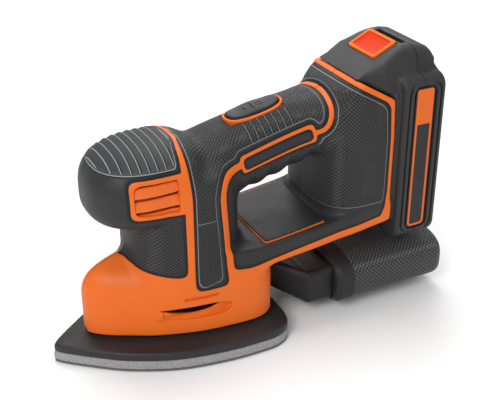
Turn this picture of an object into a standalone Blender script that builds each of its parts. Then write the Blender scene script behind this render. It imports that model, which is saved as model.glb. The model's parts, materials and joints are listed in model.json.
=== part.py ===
"""Cordless detail (mouse) sander, as separate solids in one frame.

Frame: +Z up, the nose of the sole towards -X, the battery towards +X. The origin is on the motor's axis,
in the plane of the sanding sheet's face. Sizes below are millimetres, and MM turns them into metres.
"""

from math import copysign, cos, pi, radians, sin

import bmesh
import bpy
from mathutils import Matrix, Vector

MM = 0.001
GAP = 0.3  # between pieces that touch on the real tool
WALL = 2.4  # moulded housing

# Sole
SOLE_TIP = -80.0
SOLE_REAR = 58.0
SOLE_HALF_WIDTH = 48.3
SHEET_THICK = 1.0
FOAM_TOP = 7.0
PLATEN_EDGE_TOP = 12.0
PLATEN_TOP = 14.6
ORBIT = 1.0  # eccentric offset, so the sole moves in a 2 mm circle

# Housing
SKIRT_BOTTOM = 16.4
SKIRT_FRONT = -57.0
SKIRT_REAR = 50.5
DECK_Z = (37.0, 40.0)
COLUMN_X, COLUMN_A, COLUMN_B = 1.5, 34.5, 33.5
KNOB_X, KNOB_Z = -13.0, 105.0
KNOB_A, KNOB_B, KNOB_C = 41.5, 32.5, 27.0
CAP_Z = 122.5
CAP_REAR = -9.0
HANDLE_SLOPE = 9.4
BASE_REAR = 128.0
BASE_FRONT = 86.0
BASE_HALF_WIDTH = 35.0
SLOPE_TOP = (107.5, 150.3)  # x, z where the battery's hump meets the housing's top
SLOPE_FOOT = (128.0, 138.5)
CHANNEL = (114.0, 20.5, 61.0)  # front x, half width and floor z of the battery's channel
RAIL_X, RAIL_Y, RAIL_TOP = (121.4, 125.6), 15.9, 134.0  # the groove in the battery that each rail fills

# Drive
CAN_R, CAN_Z = 18.0, (58.0, 106.0)
SHAFT_R, SHAFT_Z = 2.0, (30.0, 118.0)
PIN_R = 3.7

# Dust collection
BOX_Z = 21.5
NOZZLE_END = 97.0
COLLAR_X = (91.5, 103.0)
CANISTER_X = (103.3, 172.0)
CANISTER_B, CANISTER_C = 37.0, 15.3

# Battery
PACK_X = (131.8, 161.2)
PACK_HALF = 37.3
PACK_Z = (44.5, 147.5)
PACK_SEAM = 146.0
CELL_R, CELL_HALF = 9.1, 32.5
CELL_X, CELL_Z0, CELL_PITCH = 147.5, 58.4, 18.8
BUTTON_AT = (131.5, 161.6)
BUTTON_SLOPE = 24.0

ORANGE = (0.86, 0.13, 0.02)
CHARCOAL = (0.055, 0.055, 0.06)
BLACK = (0.02, 0.02, 0.022)
GREY = (0.36, 0.36, 0.37)
STEEL = (0.62, 0.63, 0.65)
COPPER = (0.72, 0.33, 0.16)
GREEN = (0.03, 0.2, 0.08)
RED = (0.6, 0.03, 0.02)
BROWN = (0.25, 0.12, 0.06)


# ---------------------------------------------------------------- tools


def clear_scene():
    for old in list(bpy.data.objects):
        bpy.data.objects.remove(old, do_unlink=True)


def finish_of(name, colour, roughness=0.6, metallic=0.0):
    made = bpy.data.materials.new(name)
    made.use_nodes = True
    shader = made.node_tree.nodes["Principled BSDF"]
    shader.inputs["Base Color"].default_value = (*colour, 1.0)
    shader.inputs["Roughness"].default_value = roughness
    shader.inputs["Metallic"].default_value = metallic
    return made


def solid(name, points, faces, material=None, smooth=True):
    """One object from points in millimetres, with its faces turned outwards."""
    mesh = bpy.data.meshes.new(name)
    mesh.from_pydata([Vector(p) * MM for p in points], [], faces)
    shape = bmesh.new()
    shape.from_mesh(mesh)
    bmesh.ops.recalc_face_normals(shape, faces=shape.faces)
    shape.to_mesh(mesh)
    shape.free()
    made = bpy.data.objects.new(name, mesh)
    bpy.context.scene.collection.objects.link(made)
    if smooth:
        mesh.shade_smooth()
        mesh.set_sharp_from_angle(angle=radians(35))
    if material:
        mesh.materials.append(material)
    return made


def boolean(target, tool, operation):
    """Joins, cuts or keeps with the EXACT solver, applies it, and removes the tool."""
    step = target.modifiers.new(operation.lower(), "BOOLEAN")
    step.operation = operation
    step.solver = "EXACT"
    step.object = tool
    graph = bpy.context.evaluated_depsgraph_get()
    result = bpy.data.meshes.new_from_object(target.evaluated_get(graph))
    target.modifiers.clear()
    target.data = result
    bpy.data.objects.remove(tool, do_unlink=True)
    return target


def join(target, *tools):
    for tool in tools:
        boolean(target, tool, "UNION")
    return target


def cut(target, *tools):
    for tool in tools:
        boolean(target, tool, "DIFFERENCE")
    return target


def keep(target, tool):
    return boolean(target, tool, "INTERSECT")


def oval(a, b, power=2.0, count=24):
    """A superellipse's points: 2 is an ellipse, and a higher power is closer to a rectangle."""
    points = []
    for k in range(count):
        turn = 2 * pi * (k + 0.5) / count
        u, v = cos(turn), sin(turn)
        points.append((copysign(a * abs(u) ** (2 / power), u), copysign(b * abs(v) ** (2 / power), v)))
    return points


def ring_xy(z, cx, a, b, power=2.0, count=24, cy=0.0):
    return [(cx + u, cy + v, z) for u, v in oval(a, b, power, count)]


def ring_yz(x, cz, b, c, power=2.0, count=24, cy=0.0):
    return [(x, cy + u, cz + v) for u, v in oval(b, c, power, count)]


def loft(name, rings, material=None):
    """A closed solid through rings with the same number of points."""
    count = len(rings[0])
    points = [p for ring in rings for p in ring]
    faces = [tuple(range(count)), tuple(range(len(points) - count, len(points)))]
    for r in range(len(rings) - 1):
        for k in range(count):
            n = (k + 1) % count
            faces.append((r * count + k, r * count + n, (r + 1) * count + n, (r + 1) * count + k))
    return solid(name, points, faces, material)


def sleeve(name, outer, inner, material=None):
    """A tube that is open at both ends, through two stacks of rings."""
    rings = outer + inner[::-1]
    count = len(rings[0])
    faces = []
    for r in range(len(rings)):
        after = (r + 1) % len(rings)
        for k in range(count):
            n = (k + 1) % count
            faces.append((r * count + k, r * count + n, after * count + n, after * count + k))
    return solid(name, [p for ring in rings for p in ring], faces, material)


def prism_xy(name, outline, z0, z1, material=None):
    return loft(name, [[(x, y, z0) for x, y in outline], [(x, y, z1) for x, y in outline]], material)


def prism_xz(name, outline, y0, y1, material=None):
    return loft(name, [[(x, y0, z) for x, z in outline], [(x, y1, z) for x, z in outline]], material)


def box(name, low, high, material=None):
    outline = [(low[0], low[1]), (high[0], low[1]), (high[0], high[1]), (low[0], high[1])]
    return prism_xy(name, outline, low[2], high[2], material)


def disc_z(name, radius, z0, z1, x=0.0, y=0.0, count=24, material=None):
    rings = [ring_xy(z, x, radius, radius, 2.0, count, y) for z in (z0, z1)]
    return loft(name, rings, material)


def tube_z(name, outer, inner, z0, z1, x=0.0, y=0.0, count=24, material=None):
    out = [ring_xy(z, x, outer, outer, 2.0, count, y) for z in (z0, z1)]
    into = [ring_xy(z, x, inner, inner, 2.0, count, y) for z in (z0, z1)]
    return sleeve(name, out, into, material)


def rod_y(name, radius, y0, y1, x, z, count=12, material=None):
    rings = [[(x + u, y, z + v) for u, v in oval(radius, radius, 2.0, count)] for y in (y0, y1)]
    return loft(name, rings, material)


def spline(points, steps):
    """A smooth line through the points (Catmull-Rom), with the ends kept."""
    line = []
    padded = [points[0]] + list(points) + [points[-1]]
    for i in range(1, len(padded) - 2):
        a, b, c, d = (Vector(p) for p in padded[i - 1 : i + 3])
        for s in range(steps):
            t = s / steps
            line.append(
                0.5 * (2 * b + (c - a) * t + (2 * a - 5 * b + 4 * c - d) * t**2)
                + 0.5 * (3 * b - a - 3 * c + d) * t**3
            )
    line.append(Vector(points[-1]))
    return line


def sole_outline(inset=0.0, steps=2):
    """The pointed oval of the sole, seen from above. The tip and the rear end are on the centre line."""
    wide = SOLE_HALF_WIDTH
    side = [
        (SOLE_TIP, 0.0),
        (-62.0, 0.35 * wide),
        (-44.0, 0.62 * wide),
        (-17.0, 0.87 * wide),
        (12.0, 0.98 * wide),
        (38.0, wide),
        (51.0, 0.92 * wide),
        (57.0, 0.76 * wide),
        (SOLE_REAR, 0.0),
    ]
    return mirrored(spline(side, steps), inset, (SOLE_TIP, SOLE_REAR), wide)


def skirt_outline(inset=0.0, steps=2):
    """The housing's skirt, seen from above."""
    wide = 36.4
    side = [
        (SKIRT_FRONT, 0.0),
        (-54.5, 0.22 * wide),
        (-35.0, 0.56 * wide),
        (-3.6, 0.9 * wide),
        (28.0, wide),
        (44.0, 0.88 * wide),
        (50.0, 0.5 * wide),
        (SKIRT_REAR, 0.0),
    ]
    return mirrored(spline(side, steps), inset, (SKIRT_FRONT, SKIRT_REAR), wide)


def mirrored(half, inset, span, wide):
    """A closed outline from its +Y half, drawn in by an inset towards its middle."""
    middle = (span[0] + span[1]) / 2
    along = 1 - 2 * inset / (span[1] - span[0])
    across = 1 - inset / wide
    upper = [(middle + (p[0] - middle) * along, p[1] * across) for p in half]
    return upper + [(x, -y) for x, y in upper[-2:0:-1]]


def attach(pivot_name, at, *pieces, under=None):
    """An empty on the joint's axis, with the moving pieces under it."""
    pivot = bpy.data.objects.new(pivot_name, None)
    pivot.empty_display_size = 0.01
    bpy.context.scene.collection.objects.link(pivot)
    origin = Vector(at) * MM
    if under:
        pivot.parent = under
        pivot.location = origin - under.matrix_world.translation
    else:
        pivot.location = origin
    bpy.context.view_layer.update()
    for piece in pieces:
        piece.parent = pivot
        piece.matrix_parent_inverse = Matrix.Translation(-origin)
    return pivot


# ---------------------------------------------------------------- housing

HANDLE = [  # x, middle z, half width, half height
    (-4.0, 108.0, 30.0, 19.5),
    (12.0, 109.0, 25.5, 20.0),
    (26.0, 110.0, 22.5, 21.5),
    (45.0, 112.5, 21.5, 21.6),
    (65.0, 116.8, 21.0, 20.9),
    (80.0, 120.6, 22.5, 20.0),
    (98.0, 124.0, 27.0, 20.0),
]
ARM = [
    (8.0, 57.5, 30.0, 11.0),
    (34.0, 55.2, 33.0, 8.8),
    (62.0, 56.6, 34.0, 8.7),
    (92.0, 60.2, 34.8, 9.2),
    (122.0, 65.0, 35.0, 9.5),
]


def knob(name, inset, count=24):
    """The rounded front grip, as a stack of ovals."""
    rings = []
    for lift in (-78, -56, -36, -12, 12, 36, 56, 78):
        up = radians(lift)
        rise = copysign(abs(sin(up)) ** 0.77, up)
        wide = cos(up) ** 0.77
        z = KNOB_Z + (KNOB_C - inset) * rise
        rings.append(ring_xy(z, KNOB_X, (KNOB_A - inset) * wide, (KNOB_B - inset) * wide, 2.5, count))
    return loft(name, rings)


def body(name, inset):
    """The outer form of the housing, or with an inset the hollow inside it, which is open below."""
    hollow = inset > 0
    low = SKIRT_BOTTOM - (10 if hollow else 0)
    foot = skirt_outline(inset)
    shoulder = skirt_outline(inset + 3.5)
    waist = [(COLUMN_X + (x - COLUMN_X) * 0.68, y * 0.9) for x, y in skirt_outline(inset)]
    rings = [[(x, y, low) for x, y in foot], [(x, y, 44.0 - inset) for x, y in foot]]
    rings.append([(x, y, 50.0 - inset) for x, y in shoulder])
    rings.append([(x, y, 61.0 - inset) for x, y in waist])
    skirt = loft(name, rings)

    column = []
    for z, share in ((30.0, 1.0), (118.0 - inset, 1.0), (125.0 - inset, 0.92), (128.5 - inset, 0.72)):
        a, b = (COLUMN_A - inset) * share, (COLUMN_B - inset) * share
        column.append(ring_xy(z, COLUMN_X, a, b, 2.3, 24))
    handle = [ring_yz(x, cz, b - inset, c - inset, 2.3, 18) for x, cz, b, c in HANDLE]
    arm = [ring_yz(x, cz, b - inset, c - inset, 4.0, 20) for x, cz, b, c in ARM]

    base = []
    levels = ((51.0 + inset, 0.93), (56.0 + inset, 1.0), (136.0 - inset, 1.0), (146.0 - inset, 0.86))
    for z, share in levels + ((150.8 - inset, 0.6),):
        reach = (BASE_REAR + 2 - BASE_FRONT) / 2
        middle = BASE_FRONT + reach
        base.append(ring_xy(z, middle, reach - inset, (BASE_HALF_WIDTH - inset) * share, 3.4, 24))
    grip_inset = inset * 2.4
    join(skirt, loft("column", column), loft("handle", handle), knob("knob", grip_inset))
    join(skirt, loft("base", base), loft("arm", arm))
    return cut(skirt, *behind_base(inset))


def behind_base(inset):
    """What the battery's side of the housing is cut by: a flat rear face and the slope under the hump."""
    rear = BASE_REAR - inset
    back = box("back", (rear, -60, 0), (rear + 40, 60, 200))
    (x0, z0), (x1, z1) = SLOPE_TOP, SLOPE_FOOT
    drop = inset * 1.2
    lean = (z1 - z0) / (x1 - x0)
    far_x = x0 - 30
    far_z = z0 - 30 * lean
    outline = [(far_x, far_z - drop), (x1 + 30, z1 + 30 * lean - drop), (x1 + 30, 220), (far_x, 220)]
    return [back, prism_xz("slope", outline, -60, 60)]


SCREWS = [  # x, z
    (-38.0, 96.0),
    (-44.0, 33.0),
    (28.5, 104.0),
    (27.0, 62.0),
    (76.0, 110.5),
    (99.0, 133.0),
    (106.0, 62.0),
]
SCREW_HEAD_Y = 15.0


def housing(materials):
    shell = body("shell", 0.0)
    hollow = body("hollow", WALL)
    for z0, z1, hole in (
        (DECK_Z[0], DECK_Z[1], 27.4),
        (64.0, 66.4, CAN_R + GAP),
        (100.0, 102.4, CAN_R + GAP),
    ):
        rib = box("rib", (-60, -34, z0), (33.5, 34, z1))
        cut(rib, disc_z("hole", hole, z0 - 5, z1 + 5, count=28))
        cut(hollow, rib)
    for x, z in SCREWS:
        cut(hollow, rod_y("boss", 3.7, -60, 60, x, z))
    front, half, floor = CHANNEL
    low = (front - WALL, -half - WALL, floor - WALL)
    cut(hollow, box("channel_walls", low, (140, half + WALL, 170)))
    cut(shell, hollow)
    cut(shell, box("channel", (front, -half, floor), (140, half, 170)))
    for side in (-1, 1):
        y0, y1 = sorted((side * (RAIL_Y + GAP), side * (half + 0.5)))
        join(shell, box("rail", (RAIL_X[0] + GAP, y0, floor - 0.5), (RAIL_X[1] - GAP, y1, RAIL_TOP)))
    cut(shell, box("port", (44, -11, 23), (54, 11, 37)))
    cut(shell, switch_seat("switch_hole", 9.0, 41.2, 20.2, 22.0))
    for x, y in POSTS:
        cut(shell, disc_z("post_hole", POST_R + GAP, DECK_Z[0] - 3, DECK_Z[1] + 3, x, y, 12))
    cut(shell, cap_zone(GAP, 140))
    for side in (-1, 1):
        cut(shell, vent_block("vent_hole", side, GAP))

    right = shell
    left = right.copy()
    left.data = right.data.copy()
    bpy.context.scene.collection.objects.link(left)
    left.name = "housing_left"
    right.name = "housing_right"
    keep(left, box("left_half", (-100, -100, -10), (200, -GAP / 2, 220)))
    keep(right, box("right_half", (-100, GAP / 2, -10), (200, 100, 220)))
    for x, z in SCREWS:
        cut(left, rod_y("thread", 1.5 + GAP, -14.5, 5, x, z))
        cut(right, rod_y("clearance", 1.5 + GAP, -5, SCREW_HEAD_Y, x, z))
        cut(right, rod_y("counterbore", 2.9 + GAP, SCREW_HEAD_Y - GAP, 60, x, z))
    for half_shell in (left, right):
        half_shell.data.materials.clear()
        half_shell.data.materials.append(materials["orange"])


def cap_zone(grow, deep):
    """The space of the soft knob cap and, with a depth, what the housing leaves free for it."""
    space = box("cap_zone", (-80, -60, CAP_Z - grow), (CAP_REAR + grow, 60, 160))
    return cut(space, knob("core", 3.0 + (GAP if deep else 0)))


def knob_cap(material):
    cap = keep(knob("knob_cap", 0.0), cap_zone(0.0, 0))
    cap.data.materials.clear()
    cap.data.materials.append(material)


def vent_block(name, side, grow):
    """The outline of the air grille on the side of the knob."""
    outline = [(-37.0, 98.5), (-11.0, 97.0), (-11.0, 119.0), (-37.0, 117.0)]
    middle = Vector((-24.0, 108.0))
    grown = []
    for corner in outline:
        off = Vector(corner) - middle
        wide = copysign(abs(off.x) + grow, off.x)
        high = copysign(abs(off.y) + grow, off.y)
        grown.append(middle + Vector((wide, high)))
    deep = 27.0 - (8 if grow else 0)
    return prism_xz(name, grown, side * deep, side * (33.0 + (8 if grow else 0)))


def vent_grille(side, material):
    name = "vent_grille_left" if side < 0 else "vent_grille_right"
    grille = vent_block(name, side, 0.0)
    for level in (100.8, 106.4, 112.0):
        outline = [(-34.0, level + 0.4), (-14.0, level), (-14.0, level + 3.0), (-34.0, level + 3.4)]
        cut(grille, prism_xz("slot", outline, side * 20, side * 40))
    grille.data.materials.clear()
    grille.data.materials.append(material)


# ---------------------------------------------------------------- switch

SWITCH_AT = (50.5, 134.4)


def switch_seat(name, lift, length, width, thick=16.0, material=None, count=20):
    """An oval block on the handle's slope. Its top is lift above the handle's surface."""
    made = []
    tilt = radians(HANDLE_SLOPE)
    for depth in (lift - thick, lift):
        ring = []
        for u, v in oval(length / 2, width / 2, 2.8, count):
            x = SWITCH_AT[0] + u * cos(tilt) - depth * sin(tilt)
            z = SWITCH_AT[1] + u * sin(tilt) + depth * cos(tilt)
            ring.append((x, v, z))
        made.append(ring)
    return loft(name, made, material)


def switch(materials):
    bezel = switch_seat("switch_bezel", 1.6, 40.4, 19.4, 5.0)
    cut(bezel, switch_seat("inside", 9, 35.6, 14.8, 30))
    bezel.data.materials.append(materials["orange"])
    rocker = switch_seat("switch_rocker", 2.4, 34.6, 13.8, 4.4)
    rocker.data.materials.append(materials["charcoal"])
    box("switch_module", (42.0, -6.5, 113.0), (59.0, 6.5, 127.0), materials["black"])
    return rocker


# ---------------------------------------------------------------- electrics


def wire(name, points, material):
    """A round lead along a smooth line."""
    curve = bpy.data.curves.new(name, "CURVE")
    curve.dimensions = "3D"
    curve.bevel_depth = 0.9 * MM
    curve.bevel_resolution = 1
    curve.use_fill_caps = True
    line = spline(points, 3)
    path = curve.splines.new("POLY")
    path.points.add(len(line) - 1)
    for place, point in zip(path.points, line):
        place.co = (*(point * MM), 1.0)
    made = bpy.data.objects.new(name, curve)
    bpy.context.scene.collection.objects.link(made)
    curve.materials.append(material)
    return made


def electrics(materials):
    board = box("control_board", (93.0, -15.0, 74.0), (94.6, 15.0, 102.0), materials["green"])
    join(board, box("driver_chip", (90.5, -5, 82), (93.4, 5, 92)))
    front, _, floor = CHANNEL
    low, high = (front + 0.5, -15.6, floor + GAP), (126.0, 15.6, floor + 2.8)
    block = box("terminal_block", low, high, materials["black"])
    for y in (-9.0, 0.0, 9.0):
        join(block, box("blade", (118.5, y - 0.5, floor + 2), (122.5, y + 0.5, floor + 11.5)))
    supply = [(99.0, 3.0, 78.0), (99.5, 3.5, 104.0), (88.0, 4.0, 117.0)]
    supply += [(72.0, 4.0, 117.5), (61.0, 4.0, 119.0)]
    output = [(40.5, 3.0, 120.0), (33.0, 5.0, 121.0), (20.0, 8.5, 121.5), (10.5, 8.5, 119.5)]
    for colour, side in (("red", 1), ("black", -1)):
        wire(f"lead_{colour}", [(x, side * y, z) for x, y, z in supply], materials[colour])
        wire(f"motor_lead_{colour}", [(x, side * y, z) for x, y, z in output], materials[colour])


# ---------------------------------------------------------------- motor and drive


def arc_piece(name, outer, inner, z0, z1, middle, spread, material, steps=8):
    """A piece of a tube wall that spans an angle about the motor's axis."""
    low, high = radians(middle - spread / 2), radians(middle + spread / 2)
    turns = [low + (high - low) * k / steps for k in range(steps + 1)]
    outline = [(outer * cos(t), outer * sin(t)) for t in turns]
    outline += [(inner * cos(t), inner * sin(t)) for t in reversed(turns)]
    return prism_xy(name, outline, z0, z1, material)


def motor(materials):
    low, high = CAN_Z
    can = disc_z("motor_can", CAN_R, low, high, count=28, material=materials["steel"])
    cut(can, disc_z("bore", CAN_R - 1.2, low + 6.2, high + 5, count=28))
    cut(can, disc_z("bearing_seat", 5.5 + GAP, low + 1.2, high, count=20))
    cut(can, disc_z("shaft_hole", SHAFT_R + 1.5, low - 5, high, count=16))
    for side, middle in (("front", 180), ("rear", 0)):
        arc_piece(f"magnet_{side}", CAN_R - 1.2 - GAP, 14.6, 68.0, 92.0, middle, 130, materials["black"])
    cap = disc_z("motor_end_cap", CAN_R, high + GAP, high + 8.5, count=28, material=materials["charcoal"])
    cut(cap, disc_z("hollow", CAN_R - 2.5, high - 5, high + 2.3, count=24))
    cut(cap, disc_z("bearing_seat", 5.5 + GAP, high + 2, high + 6.9, count=20))
    cut(cap, disc_z("shaft_hole", SHAFT_R + 1.0, high, high + 20, count=16))
    box("brush_front", (-14.5, -2.2, 97.0), (-5.2, 2.2, 101.5), materials["black"])
    box("brush_rear", (5.2, -2.2, 97.0), (14.5, 2.2, 101.5), materials["black"])
    for name, z0, z1 in (("lower", low + 1.6, low + 5.8), ("upper", high + 2.7, high + 6.5)):
        tube_z(f"motor_bearing_{name}", 5.5, SHAFT_R + 0.4, z0, z1, count=20, material=materials["steel"])


def rotor(materials):
    armature = disc_z("armature", 13.8, 68.5, 91.5, count=30, material=materials["steel"])
    for k in range(5):
        turn = 2 * pi * k / 5
        slot = box("slot", (9.0, -1.6, 60), (20, 1.6, 100))
        slot.data.transform(Matrix.Rotation(turn, 4, "Z"))
        cut(armature, slot)
    cut(armature, disc_z("bore", SHAFT_R + GAP, 60, 100, count=12))
    commutator = tube_z("commutator", 4.9, SHAFT_R + GAP, 95.0, 103.5, count=16, material=materials["copper"])
    shaft = disc_z("motor_shaft", SHAFT_R, *SHAFT_Z, count=12, material=materials["steel"])
    fan = disc_z("fan", 25.5, 42.5, 43.9, count=28, material=materials["black"])
    join(fan, disc_z("hub", 6.0, 42.7, 54.0, count=16))
    for k in range(9):
        blade = box("blade", (5.0, -0.7, 43.0), (24.5, 0.7, 52.0))
        blade.data.transform(Matrix.Rotation(2 * pi * (k + 0.5) / 9, 4, "Z"))
        join(fan, blade)
    cut(fan, disc_z("bore", SHAFT_R + GAP, 30, 60, count=12))
    weight = arc_piece("eccentric_weight", 20.0, 4.5, 27.5, 36.0, 180, 170, materials["steel"], 12)
    join(
        weight,
        disc_z("collar", 7.5, 25.5, 38.0, count=20),
        disc_z("pin", PIN_R, 12.0, 26.5, ORBIT, 0, 16),
    )
    cut(weight, disc_z("bore", SHAFT_R + GAP, 29.7, 60, count=12))
    return [armature, commutator, shaft, fan, weight]


POSTS = [(-33.0, -11.0), (-33.0, 11.0), (33.0, -25.0), (33.0, 25.0)]
POST_R = 3.5
POST_PLAY = 1.7  # the sole's circle and some clearance around each post


def drive_fittings(materials):
    """What hangs from the deck: the flexible posts and the dust shroud. They stay with the housing."""
    for k, (x, y) in enumerate(POSTS):
        post = disc_z(f"support_post_{k + 1}", POST_R, 10.0, DECK_Z[1] + 1.5, x, y, 12, materials["black"])
        join(post, disc_z("head", POST_R + 1.7, DECK_Z[1] + GAP, DECK_Z[1] + 3.0, x, y, 12))
    tube_z("dust_shroud", 24.6, 22.6, 16.3, DECK_Z[0] - GAP, count=28, material=materials["charcoal"])


# ---------------------------------------------------------------- sole

DUST_HOLES = [(-24.0, -22.0), (-24.0, 22.0), (14.0, -31.0), (14.0, 31.0), (40.0, -12.0), (40.0, 12.0)]


def sole(materials):
    platen_rings = [
        [(x, y, FOAM_TOP + GAP) for x, y in sole_outline(0.3)],
        [(x, y, PLATEN_EDGE_TOP) for x, y in sole_outline(0.6)],
        [(x, y, PLATEN_TOP) for x, y in sole_outline(16.0)],
    ]
    platen = loft("platen", platen_rings, materials["charcoal"])
    join(platen, disc_z("hub", 13.0, 12.0, 24.0, ORBIT, 0, 24))
    cut(platen, disc_z("bearing_seat", 9.5 + GAP, 11.7, 40, ORBIT, 0, 24))
    for x, y in POSTS:
        cut(platen, disc_z("pocket", POST_R + POST_PLAY, 9.4, 40, x + ORBIT, y, 14))
    foam = prism_xy("foam_pad", sole_outline(0.0), SHEET_THICK + GAP, FOAM_TOP, materials["grey"])
    sheet = prism_xy("sanding_sheet", sole_outline(0.2), 0.0, SHEET_THICK, materials["brown"])
    for x, y in DUST_HOLES:
        for piece in (platen, foam, sheet):
            cut(piece, disc_z("dust_hole", 3.2, -5, 40, x, y, 12))
    bearing = tube_z("platen_bearing", 9.5, PIN_R + GAP, 12.0, 21.5, ORBIT, 0, 24, materials["steel"])
    retainer = tube_z("bearing_retainer", 12.6, 8.0, 24.3, 25.2, ORBIT, 0, 24, materials["steel"])
    return [platen, foam, sheet, bearing, retainer]


# ---------------------------------------------------------------- dust collection


def dust_collection(materials):
    stations = [  # x, middle z, half width, half height
        (51.0, 30.0, 12.5, 9.0),
        (58.0, 28.5, 14.0, 10.0),
        (76.0, 20.3, 29.0, 11.3),
        (NOZZLE_END, BOX_Z, 30.5, 12.2),
    ]
    outer = [ring_yz(x, cz, b, c, 5.0) for x, cz, b, c in stations]
    inner = [ring_yz(x, cz, b - 1.8, c - 1.8, 5.0) for x, cz, b, c in stations]
    sleeve("dust_nozzle", outer, inner, materials["black"])

    front, rear = COLLAR_X
    lip = CANISTER_B + 0.8, CANISTER_C + 0.8
    outer = [ring_yz(x, BOX_Z, b, c, 3.2) for x, (b, c) in ((front, (34.5, 14.2)), (94.0, lip), (rear, lip))]
    spigot = CANISTER_B - 1.6 - GAP, CANISTER_C - 1.6 - GAP
    outer += [ring_yz(x, BOX_Z, *spigot, 3.2) for x in (rear + 0.01, 110.0)]
    inner = [ring_yz(x, BOX_Z, 30.8, 12.5, 5.0) for x in (front, 97.5)]
    inner += [ring_yz(x, BOX_Z, spigot[0] - 1.5, spigot[1] - 1.5, 3.2) for x in (100.0, 110.0)]
    collar = sleeve("canister_collar", outer, inner, materials["charcoal"])

    front, rear = CANISTER_X
    outer = []
    for x, share in ((front, 1.0), (rear - 9, 1.0), (rear - 3.5, 0.93), (rear - 0.8, 0.8), (rear, 0.62)):
        shrink = CANISTER_C * (1 - share)
        outer.append(ring_yz(x, BOX_Z, CANISTER_B - shrink, CANISTER_C - shrink, 3.2))
    canister = loft("dust_canister", outer)
    inner = [ring_yz(x, BOX_Z, CANISTER_B - 1.6, CANISTER_C - 1.6, 3.2) for x in (front - 5, rear - 9)]
    inner.append(ring_yz(rear - 2.4, BOX_Z, CANISTER_B - 7.5, CANISTER_C - 7.5, 3.2))
    cut(canister, loft("chamber", inner))
    canister.data.materials.append(materials["charcoal"])

    filter_sleeve = loft("filter_sleeve", [ring_yz(x, BOX_Z, 30.5, 9.0, 4.0) for x in (110.6, 146.0)])
    cut(filter_sleeve, loft("inside", [ring_yz(x, BOX_Z, 28.9, 7.4, 4.0) for x in (105.0, 144.4)]))
    filter_sleeve.data.materials.append(materials["grey"])
    return collar, canister, filter_sleeve


# ---------------------------------------------------------------- battery


def hump(name, inset):
    """The raised top of the battery, which carries the release button."""
    low = radians(BUTTON_SLOPE)
    x0, z0 = BUTTON_AT
    start = SLOPE_TOP[0] + 0.6 + inset
    start_z = z0 - (x0 - start) * sin(low) / cos(low) - inset
    outline = [
        (start, start_z),
        (139.5, 165.2 - inset),
        (147.0, 166.4 - inset),
        (155.5, 163.6 - inset),
        (160.2 - inset, 157.0 - inset),
        (160.2 - inset, 140.0),
        (SLOPE_FOOT[0], SLOPE_FOOT[1] + 0.8),
    ]
    raised = prism_xz(name, outline, -26.0 + inset, 26.0 - inset)
    if not inset:
        edge = raised.modifiers.new("edges", "BEVEL")
        edge.width = 3.0 * MM
        edge.segments = 2
        edge.angle_limit = radians(60)
        apply_modifiers(raised)
    return raised


def apply_modifiers(target):
    graph = bpy.context.evaluated_depsgraph_get()
    result = bpy.data.meshes.new_from_object(target.evaluated_get(graph))
    target.modifiers.clear()
    target.data = result


def on_slope(name, size, depth, material=None):
    """A block on the hump's slope, its top depth below the surface: size is along, across and thick."""
    along, across, thick = size
    made = box(name, (-along / 2, -across / 2, -depth - thick), (along / 2, across / 2, -depth), material)
    turn = Matrix.Rotation(-radians(BUTTON_SLOPE), 4, "Y")
    made.data.transform(Matrix.Translation(Vector((BUTTON_AT[0], 0, BUTTON_AT[1])) * MM) @ turn)
    return made


def pack_body(name, inset, power=10.0):
    """The outer form of the battery without its hump and rail block, or its hollow."""
    low, high = PACK_Z[0] + inset, PACK_Z[1] - inset
    middle, reach = (low + high) / 2, (high - low) / 2
    rings = []
    front, rear = PACK_X[0] + inset, PACK_X[1] - inset
    for x, draw in ((front, 1.5), (front + 2, 0), (rear - 4, 0), (rear, 4)):
        rings.append(ring_yz(x, middle, PACK_HALF - inset - draw, reach - draw, power, 32))
    return loft(name, rings)


def coil(name, axis_from, axis_to, radius, wire_radius, turns, material, around=10, section=5):
    """A round-wire helix between two points."""
    start, end = Vector(axis_from), Vector(axis_to)
    along = (end - start).normalized()
    side = along.orthogonal().normalized()
    other = along.cross(side)
    rings = []
    total = int(turns * around)
    for k in range(total + 1):
        turn = 2 * pi * k / around
        out = side * cos(turn) + other * sin(turn)
        centre = start + (end - start) * (k / total) + out * radius
        ring = []
        for s in range(section):
            bend = 2 * pi * s / section
            ring.append(tuple(centre + out * wire_radius * cos(bend) + along * wire_radius * sin(bend)))
        rings.append(ring)
    return loft(name, rings, material)


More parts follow.
